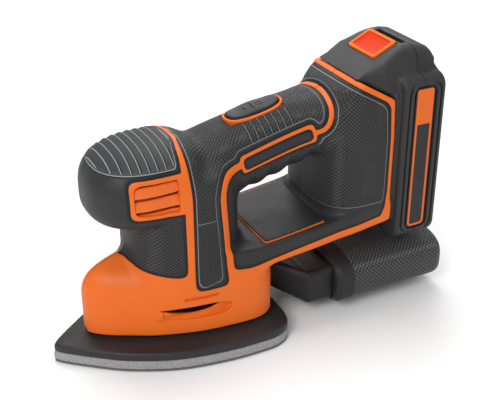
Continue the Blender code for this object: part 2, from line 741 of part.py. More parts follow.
def battery(materials):
    case = pack_body("case", 0.0)
    neck = box("neck", (BASE_REAR + 0.5, -33.0, 58.0), (135.0, 33.0, 141.0))
    join(case, neck, hump("hump", 0.0))
    rail_block = box("rail_block", (115.2, -17.6, 65.0), (132.0, 17.6, 147.5))
    join(case, rail_block)
    cut(case, pack_body("hollow", 2.0, 12.0))
    cut(case, box("hump_hollow", (141.5, -22.0, 140.0), (157.8, 22.0, 160.5)))
    cut(case, box("board_bay", (117.4, -13.4, 79.0), (135.0, 13.4, 139.0)))
    for side in (-1, 1):
        y0, y1 = sorted((side * RAIL_Y, side * 19.0))
        cut(case, box("groove", (RAIL_X[0], y0, 50.0), (RAIL_X[1], y1, RAIL_TOP + 2)))
    for y in (-9.0, 0.0, 9.0):
        cut(case, box("blade_slot", (117.0, y - 1.4, 60.0), (124.0, y + 1.4, 76.0)))
    cut(case, on_slope("pocket", (18.3, 28.8, 14.2), -6.0))
    cut(case, on_slope("spring_well", (9.0, 9.0, 12.0), 2.8))

    front = case
    rear = case.copy()
    rear.data = case.data.copy()
    bpy.context.scene.collection.objects.link(rear)
    front.name = "pack_case_front"
    rear.name = "pack_case_rear"
    keep(front, box("front_half", (0, -100, 0), (PACK_SEAM - GAP / 2, 100, 220)))
    keep(rear, box("rear_half", (PACK_SEAM + GAP / 2, -100, 0), (300, 100, 220)))
    for half in (front, rear):
        half.data.materials.clear()
        half.data.materials.append(materials["charcoal"])

    cells = []
    for k in range(5):
        z = CELL_Z0 + CELL_PITCH * k
        cells.append(rod_y(f"cell_{k + 1}", CELL_R, -CELL_HALF, CELL_HALF, CELL_X, z, 16, materials["red"]))
    holder = box("cell_holder", (136.2, -34.6, 54.0), (154.0, 34.6, 138.0), materials["black"])
    cut(holder, box("bay", (137.7, -33.0, 40.0), (170, 33.0, 150.0)))
    board = box("pack_board", (126.6, -12.8, 84.0), (127.9, 12.8, 128.0), materials["green"])
    button = on_slope("release_button", (17.5, 28.0, 4.6), -0.6)
    cut(button, on_slope("dish", (12.5, 22.5, 3.0), -2.7))
    button.data.materials.append(materials["orange"])
    lean = radians(BUTTON_SLOPE)
    down = Vector((sin(lean), 0, -cos(lean)))
    top = Vector((BUTTON_AT[0], 0, BUTTON_AT[1]))
    spring = coil("button_spring", top + down * 5.0, top + down * 14.0, 3.0, 0.45, 4, materials["steel"])
    return front, rear, cells, holder, board, button, spring


# ---------------------------------------------------------------- fasteners


def housing_screw(index, x, z, material):
    screw = rod_y(f"housing_screw_{index}", 1.5, -13.5, SCREW_HEAD_Y + 0.5, x, z, 10)
    join(screw, rod_y("head", 2.9, SCREW_HEAD_Y, SCREW_HEAD_Y + 2.4, x, z, 12))
    cut(screw, box("cross_a", (x - 1.6, SCREW_HEAD_Y + 1.2, z - 0.35), (x + 1.6, SCREW_HEAD_Y + 5, z + 0.35)))
    screw.data.materials.clear()
    screw.data.materials.append(material)


# ---------------------------------------------------------------- assembly


def main():
    clear_scene()
    materials = {
        "orange": finish_of("orange_moulding", ORANGE, 0.42),
        "charcoal": finish_of("charcoal_grip", CHARCOAL, 0.7),
        "black": finish_of("black_plastic", BLACK, 0.45),
        "grey": finish_of("grey_foam", GREY, 0.95),
        "steel": finish_of("steel", STEEL, 0.35, 1.0),
        "copper": finish_of("copper", COPPER, 0.35, 1.0),
        "green": finish_of("circuit_board", GREEN, 0.4),
        "red": finish_of("red_sleeve", RED, 0.5),
        "brown": finish_of("abrasive", BROWN, 0.95),
    }
    housing(materials)
    knob_cap(materials["charcoal"])
    for side in (-1, 1):
        vent_grille(side, materials["orange"])
    rocker = switch(materials)
    electrics(materials)
    motor(materials)
    spinning = rotor(materials)
    drive_fittings(materials)
    sole_pieces = sole(materials)
    collar, canister, filter_sleeve = dust_collection(materials)
    front, rear, cells, holder, board, button, spring = battery(materials)
    for index, (x, z) in enumerate(SCREWS, 1):
        housing_screw(index, x, z, materials["steel"])

    drive = attach("drive_axis", (0, 0, 30), *spinning)
    attach("orbit_axis", (ORBIT, 0, 18), *sole_pieces, under=drive)
    attach("rocker_axis", (SWITCH_AT[0], 0, SWITCH_AT[1]), rocker)
    box_axis = attach("dust_box_axis", (95, 0, BOX_Z), collar, filter_sleeve)
    attach("canister_axis", (104, 0, BOX_Z), canister, under=box_axis)
    pack_axis = attach("pack_axis", (130, 0, 100), front, rear, *cells, holder, board, spring)
    attach("button_axis", (BUTTON_AT[0], 0, BUTTON_AT[1]), button, under=pack_axis)


main()
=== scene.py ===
"""Looks of the cordless detail sander. Lengths here are millimetres, and MM turns them into metres.

The moulded pieces are written as fields: a function of x, y and z that is negative inside the piece and, near
its surface, about the distance to it. field_mesh turns a field into a closed mesh.
"""

import json
from functools import reduce
from math import cos, pi, radians, sin

import bmesh
import bpy
import numpy as np
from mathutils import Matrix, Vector


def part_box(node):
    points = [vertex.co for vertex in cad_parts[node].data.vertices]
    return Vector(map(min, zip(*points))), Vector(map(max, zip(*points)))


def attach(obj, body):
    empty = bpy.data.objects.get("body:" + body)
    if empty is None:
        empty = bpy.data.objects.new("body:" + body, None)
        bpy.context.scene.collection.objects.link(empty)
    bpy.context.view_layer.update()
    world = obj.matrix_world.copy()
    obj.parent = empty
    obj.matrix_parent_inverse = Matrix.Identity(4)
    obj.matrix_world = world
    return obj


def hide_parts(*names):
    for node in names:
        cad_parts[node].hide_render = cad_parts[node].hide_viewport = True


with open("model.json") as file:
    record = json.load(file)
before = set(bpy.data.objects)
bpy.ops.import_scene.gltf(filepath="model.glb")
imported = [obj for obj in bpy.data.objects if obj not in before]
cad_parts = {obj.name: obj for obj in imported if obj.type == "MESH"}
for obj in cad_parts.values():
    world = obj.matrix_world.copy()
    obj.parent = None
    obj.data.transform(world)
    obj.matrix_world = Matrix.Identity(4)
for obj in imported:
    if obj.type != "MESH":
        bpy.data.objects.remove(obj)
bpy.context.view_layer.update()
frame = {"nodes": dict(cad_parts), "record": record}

MM = 0.001
SEAM = 0.12  # half of the gap where two mouldings meet


def cell(fine, quick):
    """The cell size of a mesh."""
    return fine


FINE, MEDIUM, COARSE = cell(0.66, 1.3), cell(0.72, 1.3), cell(0.9, 1.6)


def box(node):
    """The low and the high corner of a CAD node."""
    return np.array(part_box(node)) / MM


def piece_of(name, mesh, body, slot, material, *replaced):
    made = bpy.data.objects.new(name, mesh)
    bpy.context.scene.collection.objects.link(made)
    mesh.materials.append(material)
    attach(made, body)
    if replaced:
        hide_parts(*replaced)
    return made


# ---- fields


def every(*fields):
    """What is inside all of the fields, with sharp edges."""
    return reduce(np.maximum, fields)


def some(*fields):
    """What is inside any of the fields, with sharp edges."""
    return reduce(np.minimum, fields)


def slab(u, middle, half):
    return np.abs(u - middle) - half


def merge(a, b, r):
    """The union of two fields, with a fillet of about r."""
    h = np.clip(0.5 + 0.5 * (b - a) / r, 0, 1)
    return b + (a - b) * h - r * h * (1 - h)


def common(a, b, r):
    """What is inside both fields, with an edge rounded by about r."""
    return -merge(-a, -b, r)


def without(a, b, r):
    return common(a, -b, r)


def power_mean(power, *sizes):
    return sum(size**power for size in sizes) ** (1 / power)


def oval(u, v, a, b, power):
    """A superellipse of half sizes a and b. The higher the power, the squarer."""
    q = power_mean(power, np.abs(u) / a, np.abs(v) / b)
    reach = np.hypot(u, v) + 1e-4
    return reach * (1 - 1 / np.maximum(q, 1e-4 / max(np.max(a), np.max(b))))


def round_box(u, v, a, b, r):
    """A rectangle of half sizes a and b, with corners of radius r."""
    p, q = np.abs(u) - a + r, np.abs(v) - b + r
    return np.hypot(np.maximum(p, 0), np.maximum(q, 0)) + np.minimum(np.maximum(p, q), 0) - r


def round_block(u, v, w, half, r):
    sides = [np.abs(place) - size + r for place, size in zip((u, v, w), half)]
    return np.sqrt(sum(np.maximum(side, 0) ** 2 for side in sides)) + np.minimum(every(*sides), 0) - r


def smooth_line(points, steps=8):
    """Points along a Catmull-Rom line."""
    points = np.array(points, float)
    padded = np.vstack([2 * points[0] - points[1], points, 2 * points[-1] - points[-2]])
    line = []
    for i in range(1, len(padded) - 2):
        a, b, c, d = padded[i - 1 : i + 3]
        for t in np.arange(steps) / steps:
            square, cube = 2 * a - 5 * b + 4 * c - d, 3 * b - a - 3 * c + d
            line.append(0.5 * (2 * b + (c - a) * t + square * t**2 + cube * t**3))
    return np.array(line + [padded[-2]])


def along(*points):
    """A smooth function through (place, value) pairs."""
    line = smooth_line(points)
    return lambda t: np.interp(t, line[:, 0], line[:, 1])


def straight(t, *points):
    """The value at t of a line of straight pieces through (place, value) pairs."""
    return np.interp(t, *zip(*points))


def from_line(line, *at):
    """Distance from points to a line of straight pieces."""
    best = np.full(np.broadcast(*at).shape, 1e6)
    for start, end in zip(line[:-1], line[1:]):
        span = end - start
        t = sum((p - s) * d for p, s, d in zip(at, start, span)) / (span @ span)
        t = np.clip(t, 0, 1)
        off = sum((p - s - d * t) ** 2 for p, s, d in zip(at, start, span))
        best = np.minimum(best, off)
    return np.sqrt(best)


def outline_field(outline, step=0.5, margin=14.0):
    """Signed distance to a closed outline in x and y, looked up in a table."""
    closed = np.vstack([outline, outline[:1]])
    low = outline.min(0) - margin
    count = np.ceil((outline.max(0) + margin - low) / step).astype(int) + 1
    x, y = np.meshgrid(*(low[k] + step * np.arange(count[k]) for k in range(2)), indexing="ij")
    away = from_line(closed, x, y)
    inside = np.zeros(x.shape, bool)
    for (x0, y0), (x1, y1) in zip(closed[:-1], closed[1:]):
        if y0 != y1:
            inside ^= ((y0 > y) != (y1 > y)) & (x < (x1 - x0) * (y - y0) / (y1 - y0) + x0)
    table = np.where(inside, -away, away)

    def field(x, y):
        u = np.clip((x - low[0]) / step, 0, count[0] - 1.001)
        v = np.clip((y - low[1]) / step, 0, count[1] - 1.001)
        i, j = u.astype(int), v.astype(int)
        s, t = u - i, v - j
        before = table[i, j] * (1 - t) + table[i, j + 1] * t
        after = table[i + 1, j] * (1 - t) + table[i + 1, j + 1] * t
        return before * (1 - s) + after * s

    return field


# ---- meshes


def sample(field, low, high, step):
    """The field on a grid: everywhere coarsely, and finely near its surface."""
    low, high = np.array(low, float), np.array(high, float)
    ratio = 4
    blocks = np.ceil((high - low) / (step * ratio)).astype(int) + 1
    axes = [low[k] + step * (ratio * np.arange(blocks[k]) + (ratio - 1) / 2) for k in range(3)]
    rough = field(*np.meshgrid(*axes, indexing="ij"))
    near = np.abs(rough) < step * ratio * 1.35
    values = rough
    for axis in range(3):
        values = np.repeat(values, ratio, axis)
        near = np.repeat(near, ratio, axis)
    places = np.nonzero(near)
    values[places] = field(*(low[k] + step * places[k] for k in range(3)))
    values[values == 0] = 1e-6
    return values


def net(values):
    """Vertices, in cells, and quads of the surface where the values change sign."""
    inside = values < 0
    size = np.array(values.shape) - 1
    corners = [(i, j, k) for i in (0, 1) for j in (0, 1) for k in (0, 1)]

    def at(c, source):
        return source[c[0] : c[0] + size[0], c[1] : c[1] + size[1], c[2] : c[2] + size[2]]

    filled = sum(at(c, inside).astype(np.int8) for c in corners)
    cells = np.argwhere((filled > 0) & (filled < 8))
    i, j, k = cells.T
    total, weight = np.zeros((len(cells), 3)), np.zeros(len(cells))
    for c in corners:
        for axis in range(3):
            if c[axis]:
                continue
            d = tuple(v + (n == axis) for n, v in enumerate(c))
            a = values[i + c[0], j + c[1], k + c[2]]
            b = values[i + d[0], j + d[1], k + d[2]]
            cross = (a < 0) != (b < 0)
            point = np.tile(np.array(c, float), (len(cells), 1))
            point[:, axis] += a / np.where(cross, a - b, 1)
            total[cross] += point[cross]
            weight[cross] += 1
    vertices = cells + total / weight[:, None]
    index = np.full(size, -1)
    index[i, j, k] = np.arange(len(cells))
    quads = []
    for axis in range(3):
        one, two = [n for n in range(3) if n != axis]
        layers = np.moveaxis(inside, axis, 0)
        a, b = (np.moveaxis(layers[part], 0, axis) for part in (slice(0, -1), slice(1, None)))
        change = np.argwhere(a != b)
        ok = (change[:, one] > 0) & (change[:, two] > 0)
        ok &= (change[:, one] < size[one]) & (change[:, two] < size[two])
        change = change[ok]
        ring = []
        for s, t in ((1, 1), (0, 1), (0, 0), (1, 0)):
            cell = change.copy()
            cell[:, one] -= s
            cell[:, two] -= t
            ring.append(index[cell[:, 0], cell[:, 1], cell[:, 2]])
        quad = np.stack(ring, 1)
        turned = a[change[:, 0], change[:, 1], change[:, 2]] == (axis == 1)
        quad[turned] = quad[turned][:, ::-1]
        quads.append(quad)
    return vertices, np.vstack(quads)


def settle(field, points, step, rounds=3):
    """Moves points onto the field's surface along its slope."""
    probe = 0.05
    for _ in range(rounds):
        value = field(*points.T)
        offsets = probe * np.eye(3)
        slope = np.stack([field(*(points + off).T) - field(*(points - off).T) for off in offsets], 1)
        slope /= 2 * probe
        length = np.maximum((slope**2).sum(1), 0.2)
        move = -slope * (value / length)[:, None]
        far = np.linalg.norm(move, axis=1, keepdims=True)
        points = points + move * np.minimum(1, 0.5 * step / np.maximum(far, 1e-9))
    return points


def field_mesh(name, field, low, high, step=MEDIUM, smooth=40):
    """A closed mesh of the field's surface."""
    values = sample(field, low, high, step)
    for axis in range(3):  # nothing reaches the border, so the mesh is closed
        layers = np.moveaxis(values, axis, 0)
        for end in (0, -1):
            layers[end] = np.abs(layers[end]) + 0.01
    vertices, quads = net(values)
    points = settle(field, np.array(low) + vertices * step, step)
    mesh = bpy.data.meshes.new(name)
    mesh.vertices.add(len(points))
    mesh.vertices.foreach_set("co", (points * MM).ravel())
    mesh.loops.add(quads.size)
    mesh.loops.foreach_set("vertex_index", quads.ravel().astype(np.int32))
    mesh.polygons.add(len(quads))
    mesh.polygons.foreach_set("loop_start", np.arange(0, quads.size, 4, dtype=np.int32))
    mesh.update(calc_edges=True)
    mesh.validate()
    shade(mesh, smooth)
    return mesh


def shade(mesh, angle):
    mesh.shade_smooth()
    mesh.set_sharp_from_angle(angle=radians(angle))


def halves(mesh, at, normal, gap=SEAM, smooth=40):
    """The two closed parts of a mesh on either side of a plane: the one behind it, then the one in front."""
    made = []
    for side in (-1, 1):
        shape = bmesh.new()
        shape.from_mesh(mesh)
        outward = Vector(normal) * side
        point = Vector(at) * MM + Vector(normal) * side * gap * MM
        all_of_it = shape.verts[:] + shape.edges[:] + shape.faces[:]
        bmesh.ops.bisect_plane(
            shape, geom=all_of_it, plane_co=point, plane_no=outward, clear_inner=True, dist=1e-9
        )
        rim = [edge for edge in shape.edges if edge.is_boundary]
        bmesh.ops.triangle_fill(shape, use_beauty=False, use_dissolve=False, edges=rim, normal=-outward)
        bmesh.ops.recalc_face_normals(shape, faces=shape.faces)
        half = bpy.data.meshes.new(mesh.name)
        shape.to_mesh(half)
        shape.free()
        shade(half, smooth)
        made.append(half)
    return made


def store(mesh, **fields):
    """Keeps the fields' values at each vertex, for the materials."""
    points = np.empty(len(mesh.vertices) * 3, np.float32)
    mesh.vertices.foreach_get("co", points)
    points = points.reshape(-1, 3).astype(float) / MM
    for name, field in fields.items():
        values = field(*points.T).astype(np.float32)
        mesh.attributes.new(name, "FLOAT", "POINT").data.foreach_set("value", values)


def mould(name, body, slot, material, field, low, high, step, replaced=None, smooth=40, **kept):
    """A piece whose surface is a field's, between two corners. The kept fields are for its material."""
    mesh = field_mesh(name, field, low, high, step, smooth)
    store(mesh, **kept)
    piece_of(name, mesh, body, slot, material, *([replaced] if replaced else []))


def loft(name, rings, smooth=30):
    """A closed mesh through rings of points."""
    count = len(rings[0])
    shape = bmesh.new()
    rows = [[shape.verts.new(Vector(p) * MM) for p in ring] for ring in rings]
    shape.faces.new(rows[0])
    shape.faces.new(rows[-1])
    for low, high in zip(rows[:-1], rows[1:]):
        for k in range(count):
            n = (k + 1) % count
            shape.faces.new((low[k], low[n], high[n], high[k]))
    bmesh.ops.recalc_face_normals(shape, faces=shape.faces)
    mesh = bpy.data.meshes.new(name)
    shape.to_mesh(mesh)
    shape.free()
    shade(mesh, smooth)
    return mesh


# ---- materials


class Value:
    """A number in a node graph, with the operators that add the nodes for a formula."""

    def __init__(self, look, socket):
        self.look, self.socket = look, socket

    def __add__(self, other):
        return self.look.calc("ADD", self, other)

    def __sub__(self, other):
        return self.look.calc("SUBTRACT", self, other)

    def __mul__(self, other):
        return self.look.calc("MULTIPLY", self, other)

    def __neg__(self):
        return self * -1.0

    def __abs__(self):
        return self.look.calc("ABSOLUTE", self)


class Look:
    """A Principled material, with short ways to build its node graph."""

    def __init__(self, name, roughness=0.5, metallic=0.0, **sockets):
        self.material = bpy.data.materials.new(name)
        self.material.use_nodes = True
        self.nodes = self.material.node_tree.nodes
        self.links = self.material.node_tree.links
        self.shader = self.nodes["Principled BSDF"]
        self.fill(self.shader, Roughness=roughness, Metallic=metallic, **sockets)
        self.place = self.node("TexCoord", "Object")

    def put(self, value, socket):
        if isinstance(value, Value):
            self.links.new(value.socket, socket)
        else:
            socket.default_value = (*value, 1.0) if isinstance(value, tuple) else value

    def fill(self, node, **inputs):
        for name, value in inputs.items():
            self.put(value, node.inputs[name.replace("_", " ")])

    def node(self, kind, output, settings=(), **inputs):
        """One output of a new node with those settings and inputs."""
        made = self.nodes.new("ShaderNode" + kind)
        for name, value in settings:
            setattr(made, name, value)
        self.fill(made, **inputs)
        return Value(self, made.outputs[output])

    def calc(self, operation, *values):
        node = self.nodes.new("ShaderNodeMath")
        node.operation = operation
        for value, socket in zip(values, node.inputs):
            self.put(value, socket)
        return Value(self, node.outputs[0])

    def split(self, vector):
        node = self.nodes.new("ShaderNodeSeparateXYZ")
        self.put(vector, node.inputs[0])
        return [Value(self, socket) for socket in node.outputs]

    def at(self):
        """The place on the piece, in millimetres."""
        return [self.calc("DIVIDE", part, MM) for part in self.split(self.place)]

    def attribute(self, name):
        return self.node("Attribute", "Fac", [("attribute_name", name)])

    def noise(self, scale, detail=3.0, roughness=0.5):
        """Noise from 0 to 1, with a scale in patches per millimetre."""
        size = {"Scale": scale / MM, "Detail": detail, "Roughness": roughness}
        return self.node("TexNoise", "Fac", Vector=self.place, **size)

    def cells(self, scale, feature="F1"):
        kind = [("feature", feature)]
        return self.node("TexVoronoi", "Distance", kind, Scale=scale / MM, Vector=self.place)

    def blend(self, share, a, b, kind="FLOAT"):
        return self.node("Mix", "Result", [("data_type", kind)], Factor=share, A=a, B=b)

    def paint(self, colour, *coats):
        """A colour with others laid over it, each as (share, colour)."""
        for share, coat in coats:
            colour = self.blend(share, colour, coat, "RGBA")
        return colour

    def ramp(self, value, low, high):
        """0 at low, 1 at high, and smooth between."""
        smooth = [("interpolation_type", "SMOOTHSTEP")]
        return self.node("MapRange", "Result", smooth, Value=value, From_Min=low, From_Max=high)

    def near(self, value, low, high):
        """The same for a value's distance from zero, so 1 next to zero when high is the smaller."""
        return self.ramp(abs(value), low, high)

    def hatch(self, pitch):
        """Raised diamonds between crossed grooves, laid on whichever way the surface faces. From 0 to 1."""
        x, y, z = self.split(self.place)
        faces_x, faces_y, faces_z = self.split(self.node("NewGeometry", "Normal"))
        turn = pi / (pitch * MM) / 1.414  # the grooves run at 45 degrees
        total = None
        for a, b, faces in ((x, z, faces_y), (x, y, faces_z), (y, z, faces_x)):
            one, two = (abs(self.calc("SINE", across * turn)) for across in (a + b, a - b))
            part = self.calc("MINIMUM", one, two) * self.near(faces, 0.5, 0.75)
            total = total + part if total else part
        return total

    def bump(self, height, depth, **under):
        """A bump of that depth in millimetres."""
        return self.node("Bump", "Normal", Distance=depth * MM, Height=height, **under)

    def sheen_edges(self, low=0.52, high=0.6):
        """Where the surface is a convex edge, which the materials paint paler as a painted sheen."""
        return self.ramp(self.node("NewGeometry", "Pointiness"), low, high)

    def finish(self, colour, roughness=None, normal=None):
        for value, socket in ((colour, "Base Color"), (roughness, "Roughness"), (normal, "Normal")):
            if value is not None:
                self.put(value, self.shader.inputs[socket])
        return self.material


ORANGE = (0.71, 0.122, 0.0065)
ORANGE_PALE = (0.75, 0.142, 0.0095)
ORANGE_DEEP = (0.5, 0.06, 0.006)
CHARCOAL = (0.017, 0.0172, 0.018)
CHARCOAL_PALE = (0.03, 0.0303, 0.031)
BLACK = (0.008, 0.008, 0.009)


def plastic(name, colour, pale, roughness=0.45, depth=0.03, sheen=0.35):
    """Moulded plastic: a fine spark texture, slow changes of tone, and a painted sheen that makes convex
    edges paler.
    """
    look = Look(name, roughness, Specular_IOR_Level=0.28)
    # the second coat is a painted sheen that makes convex edges paler
    base = look.paint(colour, (look.noise(0.03, 4) * 0.3, pale), (look.sheen_edges() * sheen, pale))
    rough = look.noise(0.09, 3) * 0.16 + (roughness - 0.08)
    return look.finish(base, rough, look.bump(look.noise(1.6, 2), depth))


def housing_material():
    """Orange moulding with soft charcoal over it. The vertices hold the distances to the borders."""
    look = Look("housing_two_shot", 0.45, Specular_IOR_Level=0.28)
    x, y, z = look.at()
    edge = look.attribute("edge")  # below 0 on the charcoal, in millimetres
    inlay = look.attribute("inlay")  # below 0 where it is cross-hatched
    tone, fine = look.noise(0.03, 4), look.noise(1.5, 2)

    orange = look.paint(
        ORANGE,
        (tone, ORANGE_PALE),
        # painted sheen: convex edges paler
        (look.sheen_edges(0.53, 0.62) * 0.3, (0.93, 0.28, 0.08)),
        (look.near(y, 0.4, 0.14) * 0.75, (0.2, 0.02, 0.002)),  # the seam between the halves
    )

    dark = look.ramp(-edge, -0.1, 0.1)
    hatched = look.ramp(-inlay, 0.1, 0.5) * dark
    hatch = look.hatch(1.6)
    # painted highlight: thin pale lines along the charcoal's borders, on the grooves' edges under the switch
    # and along the joint
    border = look.near(look.attribute("line"), 0.36, 0.12) * look.ramp(inlay, 0.8, 0.4)
    border = border * look.ramp(x, -8.0, -4.0)
    rib, rib_shadow = rib_highlights_and_shadows(look, x, y, z)
    joint_highlight = look.near(z - (x * -0.05 + 88.0), 0.3, 0.1) * (hatched * look.ramp(x, 18.0, 17.0))
    joint_highlight = joint_highlight * look.ramp(x, -4.0, -2.0)
    pale = look.calc("MAXIMUM", look.calc("MAXIMUM", border, rib), joint_highlight)
    soft = look.paint(
        CHARCOAL,
        (tone, CHARCOAL_PALE),
        # painted shade in the hatching's grooves, then a painted highlight on its raised diamonds
        (hatched * look.ramp(hatch, 0.5, 0.05), BLACK),
        (hatched * look.ramp(hatch, 0.55, 1.0), (0.06, 0.061, 0.063)),
        (look.ramp(edge, -2.3, -1.5) * 0.75, BLACK),
        (rib_shadow * 0.9, BLACK),
        # painted highlight along those lines
        (pale * 0.6, (0.3, 0.31, 0.32)),
        # painted sheen: convex edges paler
        (look.sheen_edges() * 0.25, (0.16, 0.16, 0.17)),
    )

    base = look.paint(
        orange,
        (dark, soft),
        (look.near(edge + 0.45, 0.75, 0.3) * 0.9, (0.006, 0.006, 0.006)),  # painted shadow in the groove along the border
        # painted shade: black deep inside the exhaust's slot
        (look.ramp(look.attribute("depth"), 2.9, 4.6), BLACK),
    )
    rough = look.blend(dark, fine * 0.1 + 0.4, 0.5)
    return look.finish(base, rough, look.bump(hatch * hatched, 0.3, Normal=look.bump(fine, 0.03)))


def rib_highlights_and_shadows(look, x, y, z):
    """The painted highlights on the edges of the grooves under the switch, and the painted shadows beside
    them.
    """
    along_it = (x - RIB_AT[0]) * (cos(RIB_TILT) / RIB_PITCH)
    u = along_it + (z - RIB_AT[1]) * (sin(RIB_TILT) / RIB_PITCH) + 0.06
    off = abs(u - look.calc("ROUND", u))
    label = x * LABEL_RISE + (LABEL_AT[1] - LABEL_AT[0] * LABEL_RISE + 9.6)
    zone = look.ramp(z - label, 0.0, 0.3) * look.near(u, 3.45, 3.35) * look.near(y, 9.4, 9.8)
    return look.ramp(off * RIB_PITCH, 0.34, 0.12) * zone, look.near(off - 0.14, 0.09, 0.04) * zone


def vent_material():
    look = Look("vent_orange", 0.4)
    # painted shade: darker red deeper in the slots
    deep = look.ramp(look.attribute("depth"), 1.9, 3.6)
    base = look.paint(ORANGE, (look.noise(0.03, 4), ORANGE_PALE), (deep, (0.3, 0.03, 0.004)))
    return look.finish(base, None, look.bump(look.noise(1.5, 2), 0.03))


def hatched_plastic(name, pitch, depth):
    look = Look(name, 0.45, Specular_IOR_Level=0.4)
    hatch = look.hatch(pitch)
    base = look.paint(
        CHARCOAL,
        (look.noise(0.03, 3), CHARCOAL_PALE),
        # painted shade in the grooves, then a painted glint on the raised diamonds
        (look.ramp(hatch, 0.5, 0.05), (0.01, 0.01, 0.011)),
        (look.ramp(hatch, 0.62, 0.95) * 0.6, (0.22, 0.22, 0.23)),
    )
    return look.finish(base, look.noise(0.5, 2) * 0.2 + 0.35, look.bump(hatch, depth))


def foam_material():
    look = Look("foam", 0.95)
    pores, speck = look.cells(0.9), look.noise(1.1, 3, 0.7)
    pale = (look.ramp(pores, 0.1, 0.6), (0.3, 0.3, 0.31))
    base = look.paint((0.16, 0.16, 0.165), pale, (speck * 0.5, (0.4, 0.4, 0.41)))
    return look.finish(base, None, look.bump(pores, 0.35, Normal=look.bump(speck, 0.2)))


def abrasive_material():
    look = Look("abrasive", 0.9)
    grit = look.cells(2.2)
    base = look.paint((0.3, 0.27, 0.25), (look.ramp(grit, 0.05, 0.5), (0.16, 0.13, 0.12)))
    return look.finish(base, None, look.bump(grit, 0.25))


def metal_material(name, colour):
    look = Look(name, 0.3, 1.0)
    streak = look.noise(0.8, 5, 0.7)
    base = look.paint(colour, (streak, tuple(0.72 * c for c in colour)))
    return look.finish(base, streak * 0.25 + 0.2, look.bump(streak, 0.01))


def board_material():
    look = Look("circuit_board", 0.35)
    tracks = look.ramp(look.cells(0.22, "DISTANCE_TO_EDGE"), 0.05, 0.09)
    base = look.paint((0.12, 0.3, 0.1), (tracks, (0.012, 0.1, 0.035)))
    return look.finish(base, None, look.bump(tracks, 0.05))


def cloth_material():
    look = Look("filter_cloth", 0.95)
    weave = look.hatch(0.9)
    base = look.paint((0.42, 0.42, 0.4), (weave, (0.66, 0.66, 0.63)))
    return look.finish(base, None, look.bump(weave, 0.2))


def cap_material():
    """The soft cap: a matt rubber with pale specks of texture, painted highlights on its ridges and its rim,
    and painted shadows in the troughs beside the ridges.
    """
    look = Look("cap_rubber", 0.6, Specular_IOR_Level=0.35)
    speck = look.noise(0.9, 3, 0.75)
    zone = look.attribute("zone")
    share = look.calc("FRACT", look.attribute("ridge"))
    inside = look.ramp(zone, -1.0, -1.6)
    crest_highlight = look.near(share - 0.76, 0.08, 0.02) * inside
    rim = look.near(zone + 0.55, 0.4, 0.15)
    base = look.paint(
        (0.02, 0.0205, 0.021),
        (speck, (0.052, 0.053, 0.055)),
        # painted shadow in the troughs beside the ridges
        (look.near(share - 0.93, 0.13, 0.07) * inside, (0.004, 0.004, 0.004)),
        # painted highlight on the ridges' crests and along the rim
        (look.calc("MAXIMUM", crest_highlight, rim) * 0.6, (0.42, 0.43, 0.44)),
    )
    return look.finish(base, None, look.bump(speck, 0.12))


def button_material():
    look = Look("button_orange", 0.62, Specular_IOR_Level=0.15)
    rim = look.ramp(look.attribute("rim"), -0.3, 0.5)
    deep = (look.noise(0.05, 3) * 0.3, ORANGE_DEEP)
    base = look.paint((0.66, 0.032, 0.003), (rim, (0.78, 0.17, 0.02)), deep)
    return look.finish(base, None, look.bump(look.noise(1.6, 2), 0.02))


# ---- housing form

HOUSING_LOW, HOUSING_HIGH = box("housing_left")
FOAM_LOW, FOAM_HIGH = box("foam_pad")
TIP, REAR, SKIRT_LOW = FOAM_LOW[0], HOUSING_HIGH[0], HOUSING_LOW[2]
DECK = box("dust_shroud")[1][2]
KNOB_MIDDLE = np.array([-13.0, 0.0, 105.0])
KNOB_SIZE = 41.5, 32.5, 27.0
KNOB_BACK = 31.0  # its top is shorter behind the middle than in front
KNOB_DROP = 19.4  # how far the knob's flatter underside lies below its middle
CAP_EDGE = 121.4  # height of the soft cap's lower edge
SHOULDER = 50.6  # where the skirt's sloping top would meet its side
BASE_AT, BASE_FRONT = 115.0, 29.2  # the middle of the rear of the housing, and its reach forward from there
SLOPE_AT, SLOPE = (107.5, 150.3), (0.499, 0.867)  # a point, and the outward normal, in x and z
CHANNEL_FRONT, CHANNEL_HALF, CHANNEL_FLOOR = 114.0, 20.5, 61.0

SKIRT_SIDE = [
    (-59.0, 0.0), (-58.6, 4.6), (-50.6, 12.0), (-35.0, 20.6), (-24.0, 26.0), (-3.6, 32.6), (14.0, 35.4),
    (28.0, 36.4), (38.0, 35.8), (45.0, 32.4), (49.3, 26.5), (50.6, 14.0), (50.8, 0.0),
]


def mirrored(side):
    """A closed outline from its half on the +y side."""
    return np.vstack([side, side[-2:0:-1] * [1, -1]])


skirt_plan = outline_field(mirrored(smooth_line(SKIRT_SIDE, 6)))

# Each line is a height or a width by its place along x.
handle_places = -14, -4, 12, 26, 45, 65, 80, 98, 110
handle_middle, handle_wide, handle_high = (along(*zip(handle_places, values)) for values in (
    (102, 103, 105.0, 108.6, 112.8, 117.4, 120.8, 123.8, 125),
    (31, 30, 26, 22.5, 21.3, 21, 22.6, 27.5, 30),
    (18, 19, 20, 21.2, 21.8, 21.0, 19.0, 17.6, 17.6),
))
arm_low = along(
    (0, 42), (36, 46.4), (46, 49.2), (59, 51), (76.6, 52.9), (94, 55.4), (111, 58), (122, 59.5), (135, 61)
)
arm_high = along((0, 62), (30, 62.6), (46, 63), (62, 64.6), (85, 67.6), (100, 70), (135, 73))
arm_wide = along((0, 28), (20, 31.5), (40, 34), (62, 34.6), (95, 35), (135, 35))
neck_edge = along((-60, 66), (-37, 62.6), (-33, 60.6), (-28.5, 57.8), (-18, 56.1), (-11, 55.3), (0, 54.8))
low_edge = along(
    (-20, 45), (19, 45), (22.5, 51.6), (33, 51.8), (42, 52.8), (59, 55.5), (76.4, 58.2), (94, 60.9),
    (111, 63.7), (120, 65.3), (135, 68),
)

